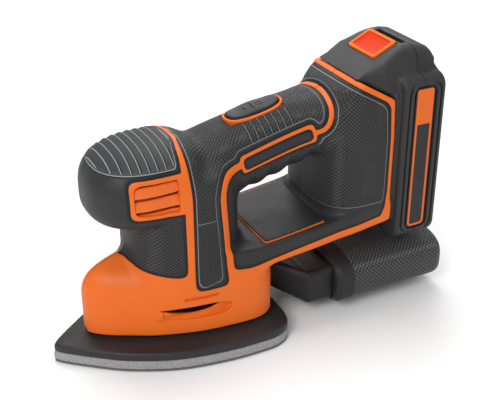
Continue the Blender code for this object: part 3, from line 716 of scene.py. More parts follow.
# The orange stripe beside the hand opening, in x and z, and the one where the handle meets the rear housing.
INNER_STRIPE = smooth_line([
    (20.7, 20), (20.2, 60), (19.0, 78), (18.0, 88), (17.3, 97), (17.5, 103), (19.8, 108), (24, 110.6),
    (31, 112.2), (36, 113.2),
], 4)
ARC = [
    (77.5, 22.4, 122.6), (80.0, 22.5, 123.1), (82.7, 23.2, 123.6), (85.8, 23.9, 124.8), (88.2, 24.3, 127.4),
    (89.8, 23.9, 130.9), (90.9, 22.4, 134.1), (91.7, 19.9, 137.0), (92.1, 16.5, 139.2), (92.6, 12.2, 140.9),
    (93.0, 6.5, 142.3), (93.2, 1.8, 142.8), (93.2, -2.0, 142.8),
]
LABEL_AT, LABEL_HALF, LABEL_TURN = np.array([56.9, 117.6]), (24.6, 5.7), radians(13.6)
LABEL_RISE = 0.242  # height gained per length along the label


def knob(x, y, z):
    u, v, w = x - KNOB_MIDDLE[0], y, z - KNOB_MIDDLE[2]
    a, b, c = KNOB_SIZE
    flat = power_mean(2.5, np.abs(u) / a, np.abs(v) / b)
    behind = power_mean(2.5, np.maximum(u, 0) / KNOB_BACK, np.abs(v) / b)
    above = power_mean(2.6, np.maximum(flat, behind), np.maximum(w, 0) / c)
    below = power_mean(3.8, flat, np.maximum(-w, 0) / KNOB_DROP)
    q = np.where(w > 0, above, below)
    reach = np.sqrt(u * u + v * v + w * w) + 1e-4
    return reach * (1 - 1 / np.maximum(q, 1e-4 / a))


def skirt(x, y, z):
    plan = skirt_plan(x, y)
    shoulder = (z - SHOULDER + 0.72 * plan) / 1.232
    return common(common(plan, shoulder, 9.0), SKIRT_LOW - z, 1.0)


def base(x, y, z):
    """The rear of the housing, which holds the battery's rails."""
    back = np.clip((z - 116) / 28, 0, 1)
    levels = 116, 124, 130, 136, 140, 144, 148, 152
    reach = np.interp(z, levels, (BASE_FRONT, 27.2, 25.4, 23.2, 21.4, 18.4, 13.6, 7.0))
    wide = 35.4 - 6.0 * back * np.clip((130 - x) / 14, 0, 1)
    plan = oval(x - BASE_AT, y, np.where(x < BASE_AT, reach, BASE_FRONT), wide, 3.2 - 0.6 * back)
    return common(plan, every(z - 151.8, arm_low(x) + 0.6 - z), 7.0)


def arm(x, y, z):
    low, high = arm_low(x), arm_high(x)
    side = round_box(y, z - (low + high) / 2, arm_wide(x), (high - low) / 2, 2.0)
    return every(side, -x, x - 130)


def handle(x, y, z):
    """The grip, with finger rests along its underside."""
    rest = 0.6 * np.sin((x - 38.0) * 2 * pi / 13.0) * np.clip((handle_middle(x) - 8 - z) / 6, 0, 1)
    rest *= np.clip((x - 34) / 6, 0, 1) * np.clip((84 - x) / 6, 0, 1)
    tube = oval(y, z - handle_middle(x), handle_wide(x), handle_high(x), 2.5) * 0.975 + rest
    return every(tube, -12 - x, x - 105)


def column(x, y, z):
    tube = oval(x - 2.2, y, 33.9, 33.5, 2.3)
    return common(common(tube, z - 116.0, 14.0), 30.0 - z, 1.0)


def slope_depth(x, z):
    return (x - SLOPE_AT[0]) * SLOPE[0] + (z - SLOPE_AT[1]) * SLOPE[1]


def long_form(x, y, z):
    """The smooth outer form of the housing, before anything is cut from it."""
    front = merge(knob(x, y, z), column(x, y, z), 2.5)
    front = merge(front, handle(x, y, z), 4.5)
    front = merge(front, base(x, y, z), 3.0)
    low = merge(skirt(x, y, z), arm(x, y, z), 6.0)
    return merge(front, low, 5.0)


def form(x, y, z):
    """The same, cut off behind by the two planes that the battery slides over."""
    whole = common(long_form(x, y, z), x - REAR, 1.6)
    return common(whole, slope_depth(x, z), 1.6)


ARC_LINE = smooth_line(settle(form, np.array(ARC), 6.0, 12), 4)

# ---- where the charcoal lies

# The front stripe's two borders, by height: it leans back as it goes over the top.
stripe_front = along(
    (20, -6.4), (60, -6.4), (92, -6.8), (110, -7.1), (118.7, -7.0), (124.9, -6.2), (129, -5.1), (130.6, -3.6),
    (131.5, -2.0), (134, 0.5),
)
stripe_back = along(
    (20, -2.2), (60, -2.2), (91, -2.3), (110, -2.6), (117.7, -2.8), (124.2, -2.8), (128.5, -2.2),
    (130.2, -1.3), (130.8, 0.0), (131.3, 1.2), (134, 3.8),
)


def vent_frame(x, y, z):
    """The outline of the air grille's frame, on both sides."""
    left = -37.0 - x
    top = z - (119.3 + 0.02 * (x + 37))
    low = (97.0 - 0.02 * (x + 34)) - z
    sides = common(common(left, x + 4.0, 1.0), common(top, low, 1.0), 5.0)
    return every(sides, 18 - np.abs(y))


def vent_opening(x, y, z):
    """The recess inside that frame."""
    return common(vent_frame(x, y, z) + 2.4, x + 9.7, 1.5)


def turned(u, w, turn):
    """The two coordinates seen in axes that are turned by an angle."""
    return u * cos(turn) + w * sin(turn), -u * sin(turn) + w * cos(turn)


def label_box(x, y, z, grow=0.0, drop=0.0):
    length, across = turned(x - LABEL_AT[0], z - LABEL_AT[1], LABEL_TURN)
    shape = round_box(length, across - drop, LABEL_HALF[0] + grow, LABEL_HALF[1] + grow, 2.6)
    return every(shape, 8 - np.abs(y))


def rear_trim(x, z):
    """Distance in from the rear rim of the housing."""
    foot = 0.45 * (z - 66.0) + 123.8 - x  # rounds the lower corner
    return merge(merge(REAR - x, -slope_depth(x, z), 4.0), foot, 3.0)


def edge_field(x, y, z):
    """Below 0 on the charcoal, above 0 on the orange, and about the distance to the border."""
    plate = label_box(x, y, z, -1.9, -0.35)
    cut_face = np.where(x > 90, long_form(x, y, z) + 2.2, 20.0)
    return some(patch_edge(x, y, z), plate, cut_face)


def patch_edge(x, y, z):
    """The same, without the plate in the label's frame and the faces under the battery."""
    front = common(x - stripe_front(z), neck_edge(x) - z, 5.0)
    front = without(front, vent_frame(x, y, z), 1.5)
    back = common(stripe_back(z) - x, low_edge(x) - z, 5.0)
    back = without(back, from_line(INNER_STRIPE, x, z) - 2.2, 4.0)
    back = without(back, label_box(x, y, z), 1.5)
    back = without(back, from_line(ARC_LINE, x, np.abs(y), z) - 1.5, 1.5)
    return some(front, common(back, 3.1 - rear_trim(x, z), 1.0))


def line_field(x, y, z):
    """Below 0 inside the thin painted highlight line along the charcoal's borders, and above the rear patch's
    foot.
    """
    margin = straight(x, (-8, 2.0), (4, 2.0), (10, 3.6), (84, 3.2), (92, 2.6))
    return every(patch_edge(x, y, z) + margin, np.where(x > 80, 74.6 - z, -20.0))


def inlay_field(x, y, z):
    """Below 0 where the charcoal is cross-hatched, in from its borders."""
    neck = every(x + 6, 1.0 - knob(x, y, z))
    grip = every(-4 - x, grip_side(x, z))
    plate = round_box(x - 112.0, z - 90.5, 4.6, 11.0, 2.0)
    rear = every(83.5 - x, -grip_side(x, z), -plate)
    return every(line_field(x, y, z), some(neck, grip, rear))


GRIP_LINE = np.array([
    (20.5, 0), (17.6, 91), (17.6, 103), (23.8, 110.4), (34, 113.0), (81, 124.8), (88, 128), (90.6, 136),
    (91, 170),
])


def grip_side(x, z):
    """Below 0 above and in front of the line that stripe, label and arc make."""
    away = from_line(GRIP_LINE, x, z)
    line_z = np.interp(x, GRIP_LINE[:, 0], GRIP_LINE[:, 1])
    behind = (x > 17.6) & (z < line_z) | (x > 91)
    return np.where(behind, away, -away)


def cap_zone(x, y, z):
    """The soft cap on top of the knob."""
    low = CAP_EDGE + 0.012 * (x + 50) - z
    return common(low, x - (stripe_front(z) - 1.9), 2.5)


# ---- housing

RIB_AT, RIB_PITCH, RIB_TILT = (53.4, 134.0), 4.5, radians(9.4)


def ribs(x, y, z):
    """The grooves down each side of the handle under the switch: a count along the row, and its zone."""
    u = ((x - RIB_AT[0]) * cos(RIB_TILT) + (z - RIB_AT[1]) * sin(RIB_TILT)) / RIB_PITCH
    low = LABEL_AT[1] + (x - LABEL_AT[0]) * LABEL_RISE + 9.3 - z
    return u, every((np.abs(u) - 3.4) * RIB_PITCH, 9.6 - np.abs(y), low)


def groove(away, depth, width):
    """The depth of a soft groove at a distance from its middle."""
    return depth * np.exp(-((away / width) ** 2))


def steps(x, y, z):
    """Small relief on the housing: grooves along the borders, and a rise where the hatching starts."""
    edge = edge_field(x, y, z)
    rise = 0.3 * np.clip(0.5 - inlay_field(x, y, z) / 0.7, 0, 1)
    on_dark = np.clip(-edge / 0.5, 0, 1)
    u, zone = ribs(x, y, z)
    rib = groove((u - np.round(u)) * RIB_PITCH, 0.4, 0.5) * np.clip(-zone / 0.8, 0, 1)
    seam = groove(y, 0.3, 0.45) * np.clip(edge + 1, 0, 1)
    return groove(edge + 0.25, 0.42, 0.42) - (rise - 0.3) * on_dark + rib + seam


def exhaust(x, y, z):
    """The hollow in the skirt's side, and the lens-shaped slot inside it."""
    scoop = oval(x + 0.8, z - 30.6, 20.4, 4.7, 2.8)
    top = 35.3 - 0.0055 * (x + 6) ** 2
    low = 29.5 + 0.0125 * (x + 4.4) ** 2
    return scoop, common((z - top) * 0.97, (low - z) * 0.93, 0.3)


def housing_field(x, y, z):
    outer = form(x, y, z)
    side = np.abs(y)
    scoop, slot = exhaust(x, y, z)
    scoop_depth = straight(x, (-14, 1.2), (16, 3.2))
    thin_slot = round_box(x - 1.0, z - 40.6, 10.2, 0.85, 0.8)
    surface = outer + steps(x, y, z)
    for cut, r in (
        (every(common(scoop, -outer - scoop_depth, 1.2), 20 - side), 0.8),
        (every(slot, 18.0 - side), 0.4),
        (every(thin_slot, -outer - 1.4, 20 - side), 0.3),
        (every(vent_opening(x, y, z) - 0.12, -outer - 7.0), 0.2),
        (every(cap_zone(x, y, z) - 0.2, -knob(x, y, z) - 3.4), 0.3),
        (hollow(x, y, z), 0.5),
        (screw_holes(x, y, z), 0.4),
    ):
        surface = without(surface, cut, r)
    return surface


def hollow(x, y, z):
    """The spaces inside the housing."""
    around = np.hypot(x, y)
    return some(
        every(skirt_plan(x, y) + 2.6 + 4.0 * np.clip((z - 24) / 3, 0, 1), z - DECK),  # drive
        every(around - 27.2, slab(z, 47, 10)),  # fan
        every(around - 18.8, slab(z, 78, 40)),  # motor
        every(round_box(x - 50.5, y, 17.6, 7.4, 2.0), slab(z, 128, 16)),  # switch
        every(slab(x, 95.5, 5.6), slab(y, 0, 16), slab(z, 90, 17)),  # board
        every(CHANNEL_FRONT - x, slab(y, 0, CHANNEL_HALF), CHANNEL_FLOOR - z),  # the battery's channel
        every(slab(y, 0, 13.2), slab(z, 30, 9.7), slab(x, 50, 6)),  # dust port
    )


def screw_holes(x, y, z):
    """The counterbores on the right-hand side, one over each screw."""
    best = np.full(np.shape(x), 50.0)
    for k in range(1, 8):
        low, high = box(f"housing_screw_{k}")
        middle = (low + high) / 2
        reach = np.hypot(x - middle[0], z - middle[2]) - 3.4
        best = some(best, every(reach, high[1] - 3.0 - y))
    return best


def shade_depth_field(x, y, z):
    """How far below the outer form a place is, and more so inside the exhaust's slot; the housing's material
    paints shade from it.
    """
    _, slot = exhaust(x, y, z)
    below = -form(x, y, z)
    return below + 4.0 * np.clip(-every(slot, 18 - np.abs(y)) / 0.5 + 0.3, 0, 1) * np.clip(below, 0, 1)


def housing(two_shot):
    mesh = field_mesh("housing_shell", housing_field, (-60, -38.5, 14), (130.5, 38.5, 153), FINE)
    for side, half in zip(("right", "left"), halves(mesh, (0, 0, 0), (0, -1, 0))):
        store(half, edge=edge_field, line=line_field, inlay=inlay_field, depth=shade_depth_field)
        piece_of(f"housing_shell_{side}", half, "housing", "housing_moulding", two_shot, f"housing_{side}")


SLOT_LEVELS = 101.4, 109.4, 117.0


def vent_field(x, y, z):
    """One air grille: louvres that lean in towards the slots above them."""
    outer = form(x, y, z) + 0.1
    slant = z - 0.05 * (x + 21)
    lift = np.full(np.shape(slant), 4.5)
    for level in SLOT_LEVELS:
        lift = np.where(slant > level, slant - level, lift)
    depth = 0.5 + np.clip(lift - 1.2, 0, 6) * 0.32
    block = every(vent_opening(x, y, z) - 0.3, -outer - 5.5, outer, outer + depth)
    for level in SLOT_LEVELS:
        block = without(block, every(slab(slant, level, 1.1), -outer - 3.6), 0.5)
    return block


def vents(orange):
    for side, name in ((-1, "left"), (1, "right")):
        near, far = sorted((side * 20, side * 37))
        low, high = (-40, near, 94), (-5, far, 124)
        mould(
            f"vent_louvres_{name}", "housing", "orange_trim", orange, vent_field, low, high, cell(0.5, 0.9),
            f"vent_grille_{name}", depth=lambda x, y, z: -form(x, y, z),
        )


RIDGE_AT, RIDGE_PITCH = -10.1, 4.71


def ridge(x, y, z):
    """Counts the ridges across the cap, from its rear edge."""
    return (x - RIDGE_AT) / RIDGE_PITCH + 0.76


def cap_field(x, y, z):
    outer, zone = knob(x, y, z), cap_zone(x, y, z)
    share = ridge(x, y, z) % 1
    height = np.where(share < 0.78, share / 0.78, (1 - share) / 0.22)
    cut = 0.95 * (1 - height) * np.clip((-zone - 1.0) / 0.9, 0, 1)
    return every(common(outer + cut + 0.02, zone + 0.05, 0.8), -outer - 3.0)


def knob_cap(rubber):
    low, high = (-57, -34, 116), (-1, 34, 134)
    mould(
        "knob_cap_soft", "housing", "soft_grip", rubber, cap_field, low, high, cell(0.5, 1.2), "knob_cap",
        ridge=ridge, zone=cap_zone,
    )


# ---- switch

BEZEL_MIDDLE = box("switch_bezel").mean(0)
SWITCH_TURN, SWITCH_RISE = radians(10.6), 2.2  # the handle's slope, and its height over the bezel's middle


def switch_frame(x, y, z):
    """Along, across and above the handle's surface at the switch."""
    u, h = turned(x - BEZEL_MIDDLE[0], z - (BEZEL_MIDDLE[2] + SWITCH_RISE), SWITCH_TURN)
    return u, y, h


def bezel_field(x, y, z):
    u, v, h = switch_frame(x, y, z)
    ring = every(oval(u, v, 18.7, 9.4, 2.8), -oval(u, v, 17.0, 7.8, 2.8))
    return common(ring, every(h + v * v / 60.0 - 1.3, -4.5 - h), 0.9)


def rocker_field(x, y, z):
    """The rocker, crowned, with a bar, a ring and a ridge between them raised on it."""
    u, v, h = switch_frame(x, y, z)
    top = 2.5 - 0.012 * v * v - groove(np.abs(u) - 9.0, 0.5, 5.0)
    rocker = common(oval(u, v, 16.6, 7.4, 2.8), every(h - top, -3.0 - h), 1.3)
    for sign, rise in (
        (round_box(u + 4.6, v, 0.55, 2.0, 0.4), 0.32),
        (slab(np.hypot(u - 4.6, v), 1.8, 0.5), 0.32),
        (round_box(u, v, 0.5, 4.4, 0.4), 0.4),
    ):
        rocker = merge(rocker, every(sign, slab(h, top, rise)), 0.3)
    return rocker


def switch(orange, soft):
    step, low, high = cell(0.45, 0.9), (28, -11, 124), (74, 11, 143)
    mould("switch_surround", "housing", "orange_trim", orange, bezel_field, low, high, step, "switch_bezel")
    low, high = (31, -8.5, 125), (70, 8.5, 143)
    mould("switch_boot", "rocker", "soft_grip", soft, rocker_field, low, high, step, "switch_rocker")


# ---- panel on the arm

PANEL_LOW = 58  # below this the panel would stand out under the arm


def panel_zone(x, y):
    return round_box(x - 64.8, y, 20.9, 30.3, 2.2)


def panel_field(x, y, z):
    """The smooth panel under the handle, a little proud of the arm."""
    return every(common(arm(x, y, z) - 0.8, panel_zone(x, y) + 0.9, 0.7), PANEL_LOW - z)


def panel_line_field(x, y, z):
    """Its thin coloured edge, which shows along the front and the sides."""
    rim = every(panel_zone(x, y), -panel_zone(x, y) - 0.75, x - 84.0)
    return every(common(arm(x, y, z) - 0.55, rim, 0.2), PANEL_LOW - z)


def arm_panel(soft, orange):
    step, low, high = cell(0.6, 1.2), (41, -33, 56), (88, 33, 72)
    mould("arm_panel", "housing", "soft_grip", soft, panel_field, low, high, step)
    mould("arm_panel_edge", "housing", "orange_trim", orange, panel_line_field, low, high, step)


# ---- battery

PACK_LOW, PACK_SEAM_FRONT = box("pack_case_front")
PACK_SEAM_REAR, PACK_HIGH = box("pack_case_rear")
PACK_SEAM = (PACK_SEAM_FRONT[0] + PACK_SEAM_REAR[0]) / 2
PACK_FRONT, PACK_TOP = 131.8, 151.0
PACK_REAR, PACK_HALF = PACK_HIGH[:2]
PACK_MIDDLE = (PACK_LOW[2] + PACK_TOP) / 2
PACK_REACH = (PACK_TOP - PACK_LOW[2]) / 2
PACK_PANEL = 146.3  # the panel's middle along x
BUTTON_AT, BUTTON_SLOPE = (131.0, 162.6), radians(25.5)

# The raised front of the pack, seen from the side.
hump_side = outline_field(np.array([
    (107.2, 151.0), (128.0, 161.2), (134.5, 164.2), (139.0, 165.4), (144, 165.6), (150, 164.9), (156, 163.4),
    (160.6, 157.0), (160.8, 140.0), (128.5, 138.0),
]), margin=10.0)


def button_frame(x, z):
    return turned(x - BUTTON_AT[0], z - BUTTON_AT[1], BUTTON_SLOPE)


def pack_form(x, y, z):
    reach = (PACK_REAR - PACK_FRONT) / 2
    side = round_box(y, z - PACK_MIDDLE, PACK_HALF, PACK_REACH, 8.5)
    main = common(side, np.abs(x - PACK_FRONT - reach) - reach, 3.4)
    neck = round_block(x - 133, y, z - 99.5, (4.6, 33.0, 41.5), 2.0)
    rear = np.clip((x - 138) / 12, 0, 1)
    half = (1 - rear) * straight(z, (145, 30.5), (154, 27.8), (160, 24.0), (167, 20.5))
    half = half + rear * straight(z, (150, 26.0), (161, 26.0), (167, 22.0))
    half = half - 6.0 * np.clip((124 - x) / 11, 0, 1)
    hump = common(hump_side(x, z), (np.abs(y) - half) * 0.88, straight(x, (112, 2.0), (128, 5.0)))
    return merge(merge(main, neck, 1.0), hump, 4.0)


def pack_panel(x, z, half, high, r):
    """A tall rounded rectangle on the pack's side."""
    return round_box(x - PACK_PANEL, z - PACK_MIDDLE - 0.3, half, high, r)


def pack_field(x, y, z):
    side = PACK_HALF - np.abs(y)
    length, up = button_frame(x, z)
    block = every(115.2 - x, slab(y, 0, 17.6), 65.0 - z, x - 134, z - 150.0)  # in the housing's channel
    whole = pack_form(x, y, z)
    for cut, r in (
        (every(slab(pack_panel(x, z, 11.0, 50.4, 8.0), 0, 0.6), side - 1.7), 0.4),  # line around the panel
        (every(pack_panel(x, z, 8.1, 47.5, 5.0), side - 2.0), 0.5),
        (every(round_box(length, y, 9.3, 14.5, 1.8), -6.4 - up), 0.5),  # button's well
        (every(slab(x, 144.3, 2.4), slab(y, 0, 14.0), 159.0 - z), 0.5),  # slot behind it
    ):
        whole = without(whole, cut, r)
    whole = merge(whole, block, 0.6)
    inner = common(round_box(y, z - PACK_MIDDLE, 34.6, 50.2, 8.0), slab(x, 146.5, 12.5), 2.0)
    for cut, r in (
        (every(slab(x, 123.5, 2.1), 15.9 - np.abs(y), 50 - z, z - 136), 0.3),  # rail grooves
        (every(slab(x, 120.5, 3.5), slab(np.abs(y), 4.5, 5.9), z - 76, 60 - z), 0.3),  # terminal slots
        (inner, 0.4),
        (every(slab(x, 127, 9.6), slab(y, 0, 13.4), slab(z, 109, 30)), 0.4),  # bay for the pack's board
    ):
        whole = without(whole, cut, r)
    return whole


def pack_label_field(x, y, z):
    side = PACK_HALF - np.abs(y)
    return common(every(pack_panel(x, z, 6.6, 46.1, 3.6), side - 2.6), 0.5 - side, 0.4)


def pack_mark_field(x, y, z):
    """The orange block and outline on the pack's side."""
    side = PACK_HALF - np.abs(y)
    block = round_box(x - PACK_PANEL, z - 132.6, 5.9, 11.2, 1.8)
    outline = np.abs(round_box(x - PACK_PANEL, z - 98.3, 5.9, 45.5, 2.6) + 0.7) - 0.7
    return common(every(some(block, outline), side - 1.2), 0.25 - side, 0.25)


def button_dish(x, y, z):
    """The outline of the hollow in the button's top."""
    return round_box(button_frame(x, z)[0], y, 6.7, 11.8, 1.6)


def button_field(x, y, z):
    length, up = button_frame(x, z)
    shape = round_box(length, y, 8.9, 14.1, 2.2)
    block = common(every(shape, -2.8 - up), up - 1.0, 0.7)
    floor = -0.9 + 0.02 * length**2 + 0.004 * y * y
    return without(block, every(button_dish(x, y, z), floor - up), 0.5)


def battery(case, panel, mark, button):
    mesh = field_mesh("pack", pack_field, (106, -39, 43), (163, 39, 168.5), MEDIUM)
    rear, front = halves(mesh, (PACK_SEAM, 0, 0), (-1, 0, 0), 0.24)
    piece_of("pack_shell_front", front, "battery", "pack_charcoal", case, "pack_case_front")
    piece_of("pack_shell_rear", rear, "battery", "pack_charcoal", case, "pack_case_rear")
    for side, name in ((-1, "left"), (1, "right")):
        near, far = sorted((side * 34.5, side * 39))
        low, high, step = (137, near, 48), (156, far, 143), cell(0.7, 1.2)
        mould(f"pack_panel_{name}", "battery", "pack_charcoal", panel, pack_label_field, low, high, step)
        low, high, step = (139, near, 51), (154, far, 147), cell(0.4, 0.9)
        mould(f"pack_mark_{name}", "battery", "orange_trim", mark, pack_mark_field, low, high, step)
    mould(
        "release_button_cap", "button", "orange_trim", button, button_field, (120, -16, 150), (144, 16, 169),
        cell(0.5, 0.9), "release_button", rim=button_dish,
    )


# ---- dust collection

CANISTER_LOW, CANISTER_HIGH = box("dust_canister")
COLLAR_FRONT = box("canister_collar")[0][0]
BOX_Z = (CANISTER_LOW[2] + CANISTER_HIGH[2]) / 2
CANISTER_FRONT, CANISTER_REAR = CANISTER_LOW[0], CANISTER_HIGH[0]
CANISTER_HALF = CANISTER_HIGH[1] + 0.9
CANISTER_RISE = CANISTER_HIGH[2] + 1.2 - BOX_Z


def nozzle_field(x, y, z):
    """The duct, which widens and drops towards the canister."""
    wide = straight(x, (51, 12.5), (57, 13.5), (76, 29.0), (97, 30.5))
    high = straight(x, (51, 9.0), (57, 9.8), (76, 11.4), (97, 12.2))
    middle = straight(x, (51, 30.0), (57, 28.6), (76, 20.4), (97, 21.5))
    tube = round_box(y, z - middle, wide, high, 4.2) * 0.86
    inner = round_box(y, z - middle, wide - 1.9, high - 1.9, 2.6) * 0.86
    return without(common(tube, every(51.2 - x, x - 96.8), 0.6), inner, 0.3)


def canister_oval(y, z, inset):
    return oval(y, z - BOX_Z, CANISTER_HALF - inset, CANISTER_RISE - inset, 3.2)


def collar_field(x, y, z):
    low, high = COLLAR_FRONT, CANISTER_FRONT - 0.3
    grow = straight(x, (low, -2.2), (low + 3.0, 0.9))
    body = common(canister_oval(y, z, 0.0) - grow, every(low - x, x - high), 1.0)
    spigot = every(canister_oval(y, z, 2.1), high - 1 - x, x - 109.8)
    bore = np.where(x < 97.5, round_box(y, z - BOX_Z, 30.9, 12.6, 4.4), oval(y, z - BOX_Z, 33.2, 11.8, 3.2))
    return without(merge(body, spigot, 0.3), bore, 0.4)


def canister_field(x, y, z):
    body = common(canister_oval(y, z, 0.0), x - CANISTER_REAR, 8.0)
    body = common(body, CANISTER_FRONT - x, 0.8)
    return without(body, common(canister_oval(y, z, 1.6), x - CANISTER_REAR + 3.0, 6.0), 0.3)


def dust_collection(nozzle, collar, canister):
    for name, body, slot, material, field, low, high, step, node, smooth in (
        ("dust_nozzle_duct", "housing", "nozzle_black", nozzle, nozzle_field,
         (48, -33, 6), (99, 33, 42), COARSE, "dust_nozzle", 28),
        ("canister_collar_ring", "dust_box", "canister_charcoal", collar, collar_field,
         (89, -41, 2), (112, 41, 41), MEDIUM, "canister_collar", 40),
        ("dust_canister_shell", "canister", "canister_charcoal", canister, canister_field,
         (101, -39, 3), (174, 39, 40), COARSE, "dust_canister", 40),
    ):
        mould(name, body, slot, material, field, low, high, step, node, smooth)


# ---- sole

DUST_HOLES = [(-24.0, -20.0), (-24.0, 20.0), (14.0, -28.8), (14.0, 28.8), (40.0, -12.0), (40.0, 12.0)]
HOLE_RADIUS = 3.2
POSTS = [(-33.0, -11.0), (-33.0, 11.0), (33.0, -25.0), (33.0, 25.0)]


def sole_outline(inset, steps=10):
    """The sole's pointed oval, drawn in by an inset."""
    wide = FOAM_HIGH[1] - 0.1
    half = smooth_line([
        (TIP + 0.2, 0.0), (-75.5, 5.2), (-62.0, 0.345 * wide), (-44.0, 0.617 * wide), (-17.7, 0.866 * wide),
        (11.9, 0.982 * wide), (36.0, wide), (46.5, 0.968 * wide), (54.0, 0.86 * wide), (57.2, 0.66 * wide),
        (57.9, 0.3 * wide), (58.0, 0.0),
    ], steps)
    line = mirrored(half)
    heading = np.roll(line, -1, 0) - np.roll(line, 1, 0)
    out = np.stack([-heading[:, 1], heading[:, 0]], 1)
    out /= np.linalg.norm(out, axis=1)[:, None]
    shape = line - out * inset
    side = np.sign(line[:, 1])  # each point stays on its own side of the middle, so that the ends don't cross
    shape[:, 1] = side * np.maximum(side * shape[:, 1], 0.02)
    return shape


def sole_piece(name, levels, material, node, slot):
    """A plate in the sole's outline through (z, inset) levels, with the dust holes cut through it."""
    mesh = loft(name, [[(x, y, z) for x, y in sole_outline(inset)] for z, inset in levels])
    made = piece_of(name, mesh, "sole", slot, material, node)
    for x, y in DUST_HOLES:
        angles = [2 * pi * k / 32 for k in range(32)]
        ring = [(x + HOLE_RADIUS * cos(angle), y + HOLE_RADIUS * sin(angle)) for angle in angles]
        tube = loft("cutter", [[(a, b, z) for a, b in ring] for z in (-5, 30)])
        cutter = bpy.data.objects.new("cutter", tube)
        bpy.context.scene.collection.objects.link(cutter)
        hole = made.modifiers.new("hole", "BOOLEAN")
        hole.operation = "DIFFERENCE"
        hole.object = cutter
        result = bpy.data.meshes.new_from_object(made.evaluated_get(bpy.context.evaluated_depsgraph_get()))
        made.modifiers.clear()
        made.data = result
        bpy.data.objects.remove(cutter)
    shade(made.data, 30)


def sole(foam, grit):
    low, top = FOAM_LOW[2], FOAM_HIGH[2]
    levels = [(low, 0.7), (low + 0.4, 0.25), (low + 1.2, 0.05)]
    levels += [(top - 1.2, 0.05), (top - 0.4, 0.25), (top, 0.7)]
    sole_piece("foam_cushion", levels, foam, "foam_pad", "grey_foam")
    levels = [(0.0, 0.35), (0.25, 0.25), (0.9, 0.25), (1.0, 0.35)]
    sole_piece("abrasive_disc", levels, grit, "sanding_sheet", "abrasive_sheet")


PLATEN_LOW, PLATEN_TOP = box("platen")[0][2], 14.7
sole_plan = outline_field(sole_outline(0.0, 6), margin=6.0)


def platen_field(x, y, z):
    """The sole plate: an upright edge, then a top that slopes up to the skirt."""
    plan = sole_plan(x, y)
    top = (z - 12.1 + np.minimum(0.17 * (plan + 0.3), 0)) / 1.02
    plate = common(common(plan + 0.35, every(top, z - PLATEN_TOP), 1.5), PLATEN_LOW - z, 0.6)
    hub = every(np.hypot(x - 1, y) - 13.0, z - 24.0, 11.0 - z)
    seat = every(np.hypot(x - 1, y) - 9.8, 11.7 - z)
    plate = without(merge(plate, hub, 0.8), seat, 0.3)
    for px, py in POSTS:
        plate = without(plate, every(np.hypot(x - px - 1, y - py) - 5.2, 9.4 - z), 0.3)
    for px, py in DUST_HOLES:
        plate = without(plate, np.hypot(x - px, y - py) - HOLE_RADIUS, 0.3)
    return plate


def platen(moulding):
    low, high = (-83, -51, 5), (61, 51, 26)
    mould("sole_plate", "sole", "platen_charcoal", moulding, platen_field, low, high, COARSE, "platen")


# ---- inner pieces


def dress(finishes):
    """Gives each CAD node that stays in view the finish of its slot."""
    slots = {part["node"]: part["material_slot"] for part in frame["record"]["subparts"]}
    for name, node in frame["nodes"].items():
        if slots[name] in finishes:
            node.data.materials.clear()
            node.data.materials.append(finishes[slots[name]])


# ---- stage


def turned_to(direction):
    """The rotation of a lamp or a camera that looks along a direction."""
    return direction.to_track_quat("-Z", "Y").to_euler()


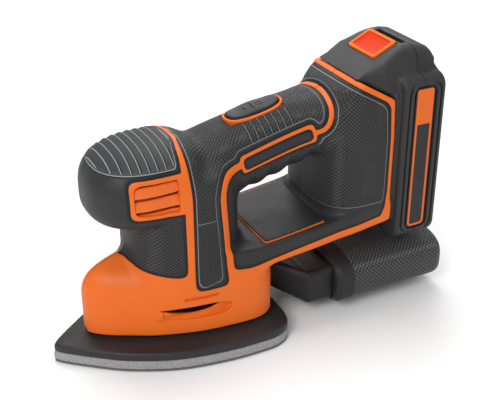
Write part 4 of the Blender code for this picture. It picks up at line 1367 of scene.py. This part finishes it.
def stage():
    scene = bpy.context.scene
    floor = bpy.data.meshes.new("floor")
    floor.from_pydata([(-4, -4, 0), (4, -4, 0), (4, 4, 0), (-4, 4, 0)], [], [(0, 1, 2, 3)])
    ground = bpy.data.objects.new("floor", floor)
    look = Look("floor_paper", 0.9)
    paper = look.paint((0.9, 0.9, 0.9), (look.noise(0.004, 2), (0.93, 0.93, 0.93)))
    floor.materials.append(look.finish(paper))
    ground.location.z = -0.0003
    scene.collection.objects.link(ground)

    world = bpy.data.worlds.new("studio")
    world.use_nodes = True
    sky = world.node_tree.nodes["Background"]
    sky.inputs["Color"].default_value = (1.0, 1.0, 1.0, 1.0)
    sky.inputs["Strength"].default_value = 0.5
    scene.world = world

    for name, place, size, power in (
        ("key", (-0.8, -0.7, 0.9), 0.5, 9.0),
        ("fill", (0.9, -0.9, 0.6), 0.8, 1.5),
        ("top", (0.1, 0.35, 1.2), 0.7, 8.5),
        ("back", (0.5, 1.0, 0.7), 0.7, 3.5),
    ):
        data = bpy.data.lights.new(name, "AREA")
        data.size = size
        data.energy = power
        lamp = bpy.data.objects.new(name, data)
        lamp.location = place
        lamp.rotation_euler = turned_to(Vector((0.04, 0, 0.08)) - Vector(place))
        scene.collection.objects.link(lamp)

    view = bpy.data.cameras.new("camera")
    view.lens = 70.4
    view.sensor_width = 36.0
    camera = bpy.data.objects.new("camera", view)
    camera.location = (-0.18816, -0.46607, 0.35438)
    camera.rotation_euler = turned_to(Vector((0.4008, 0.7867, -0.4695)))
    scene.collection.objects.link(camera)
    scene.camera = camera
    scene.view_settings.view_transform = "Standard"


def main():
    orange = plastic("orange_moulding", ORANGE, ORANGE_PALE, 0.4, sheen=0.2)
    soft = plastic("soft_charcoal", CHARCOAL, CHARCOAL_PALE, 0.5, depth=0.05)
    black = plastic("black_moulding", (0.015, 0.015, 0.016), (0.04, 0.04, 0.04), 0.5)
    red = plastic("red_sleeve", (0.5, 0.02, 0.015), (0.7, 0.06, 0.04), 0.35)
    housing(housing_material())
    vents(vent_material())
    knob_cap(cap_material())
    switch(orange, soft)
    arm_panel(soft, orange)
    case = plastic("pack_moulding", (0.026, 0.026, 0.027), (0.042, 0.042, 0.043), 0.48, depth=0.06)
    battery(case, soft, orange, button_material())
    nozzle = plastic("nozzle_moulding", (0.012, 0.012, 0.013), (0.026, 0.026, 0.028), 0.38, depth=0.04)
    dust_collection(nozzle, soft, hatched_plastic("canister_mesh", 1.9, 0.45))
    sole(foam_material(), abrasive_material())
    platen(plastic("platen_moulding", (0.022, 0.02, 0.02), (0.04, 0.038, 0.038), 0.42, depth=0.04))
    dress({
        "bright_steel": metal_material("steel", (0.6, 0.6, 0.62)),
        "copper": metal_material("copper", (0.72, 0.33, 0.16)),
        "circuit_board": board_material(),
        "red_insulation": red,
        "black_insulation": black,
        "black_moulding": black,
        "rubber": plastic("dull_rubber", (0.02, 0.02, 0.02), (0.045, 0.045, 0.045), 0.8, depth=0.08),
        "filter_cloth": cloth_material(),
        "cell_sleeve": red,
    })
    stage()


main()
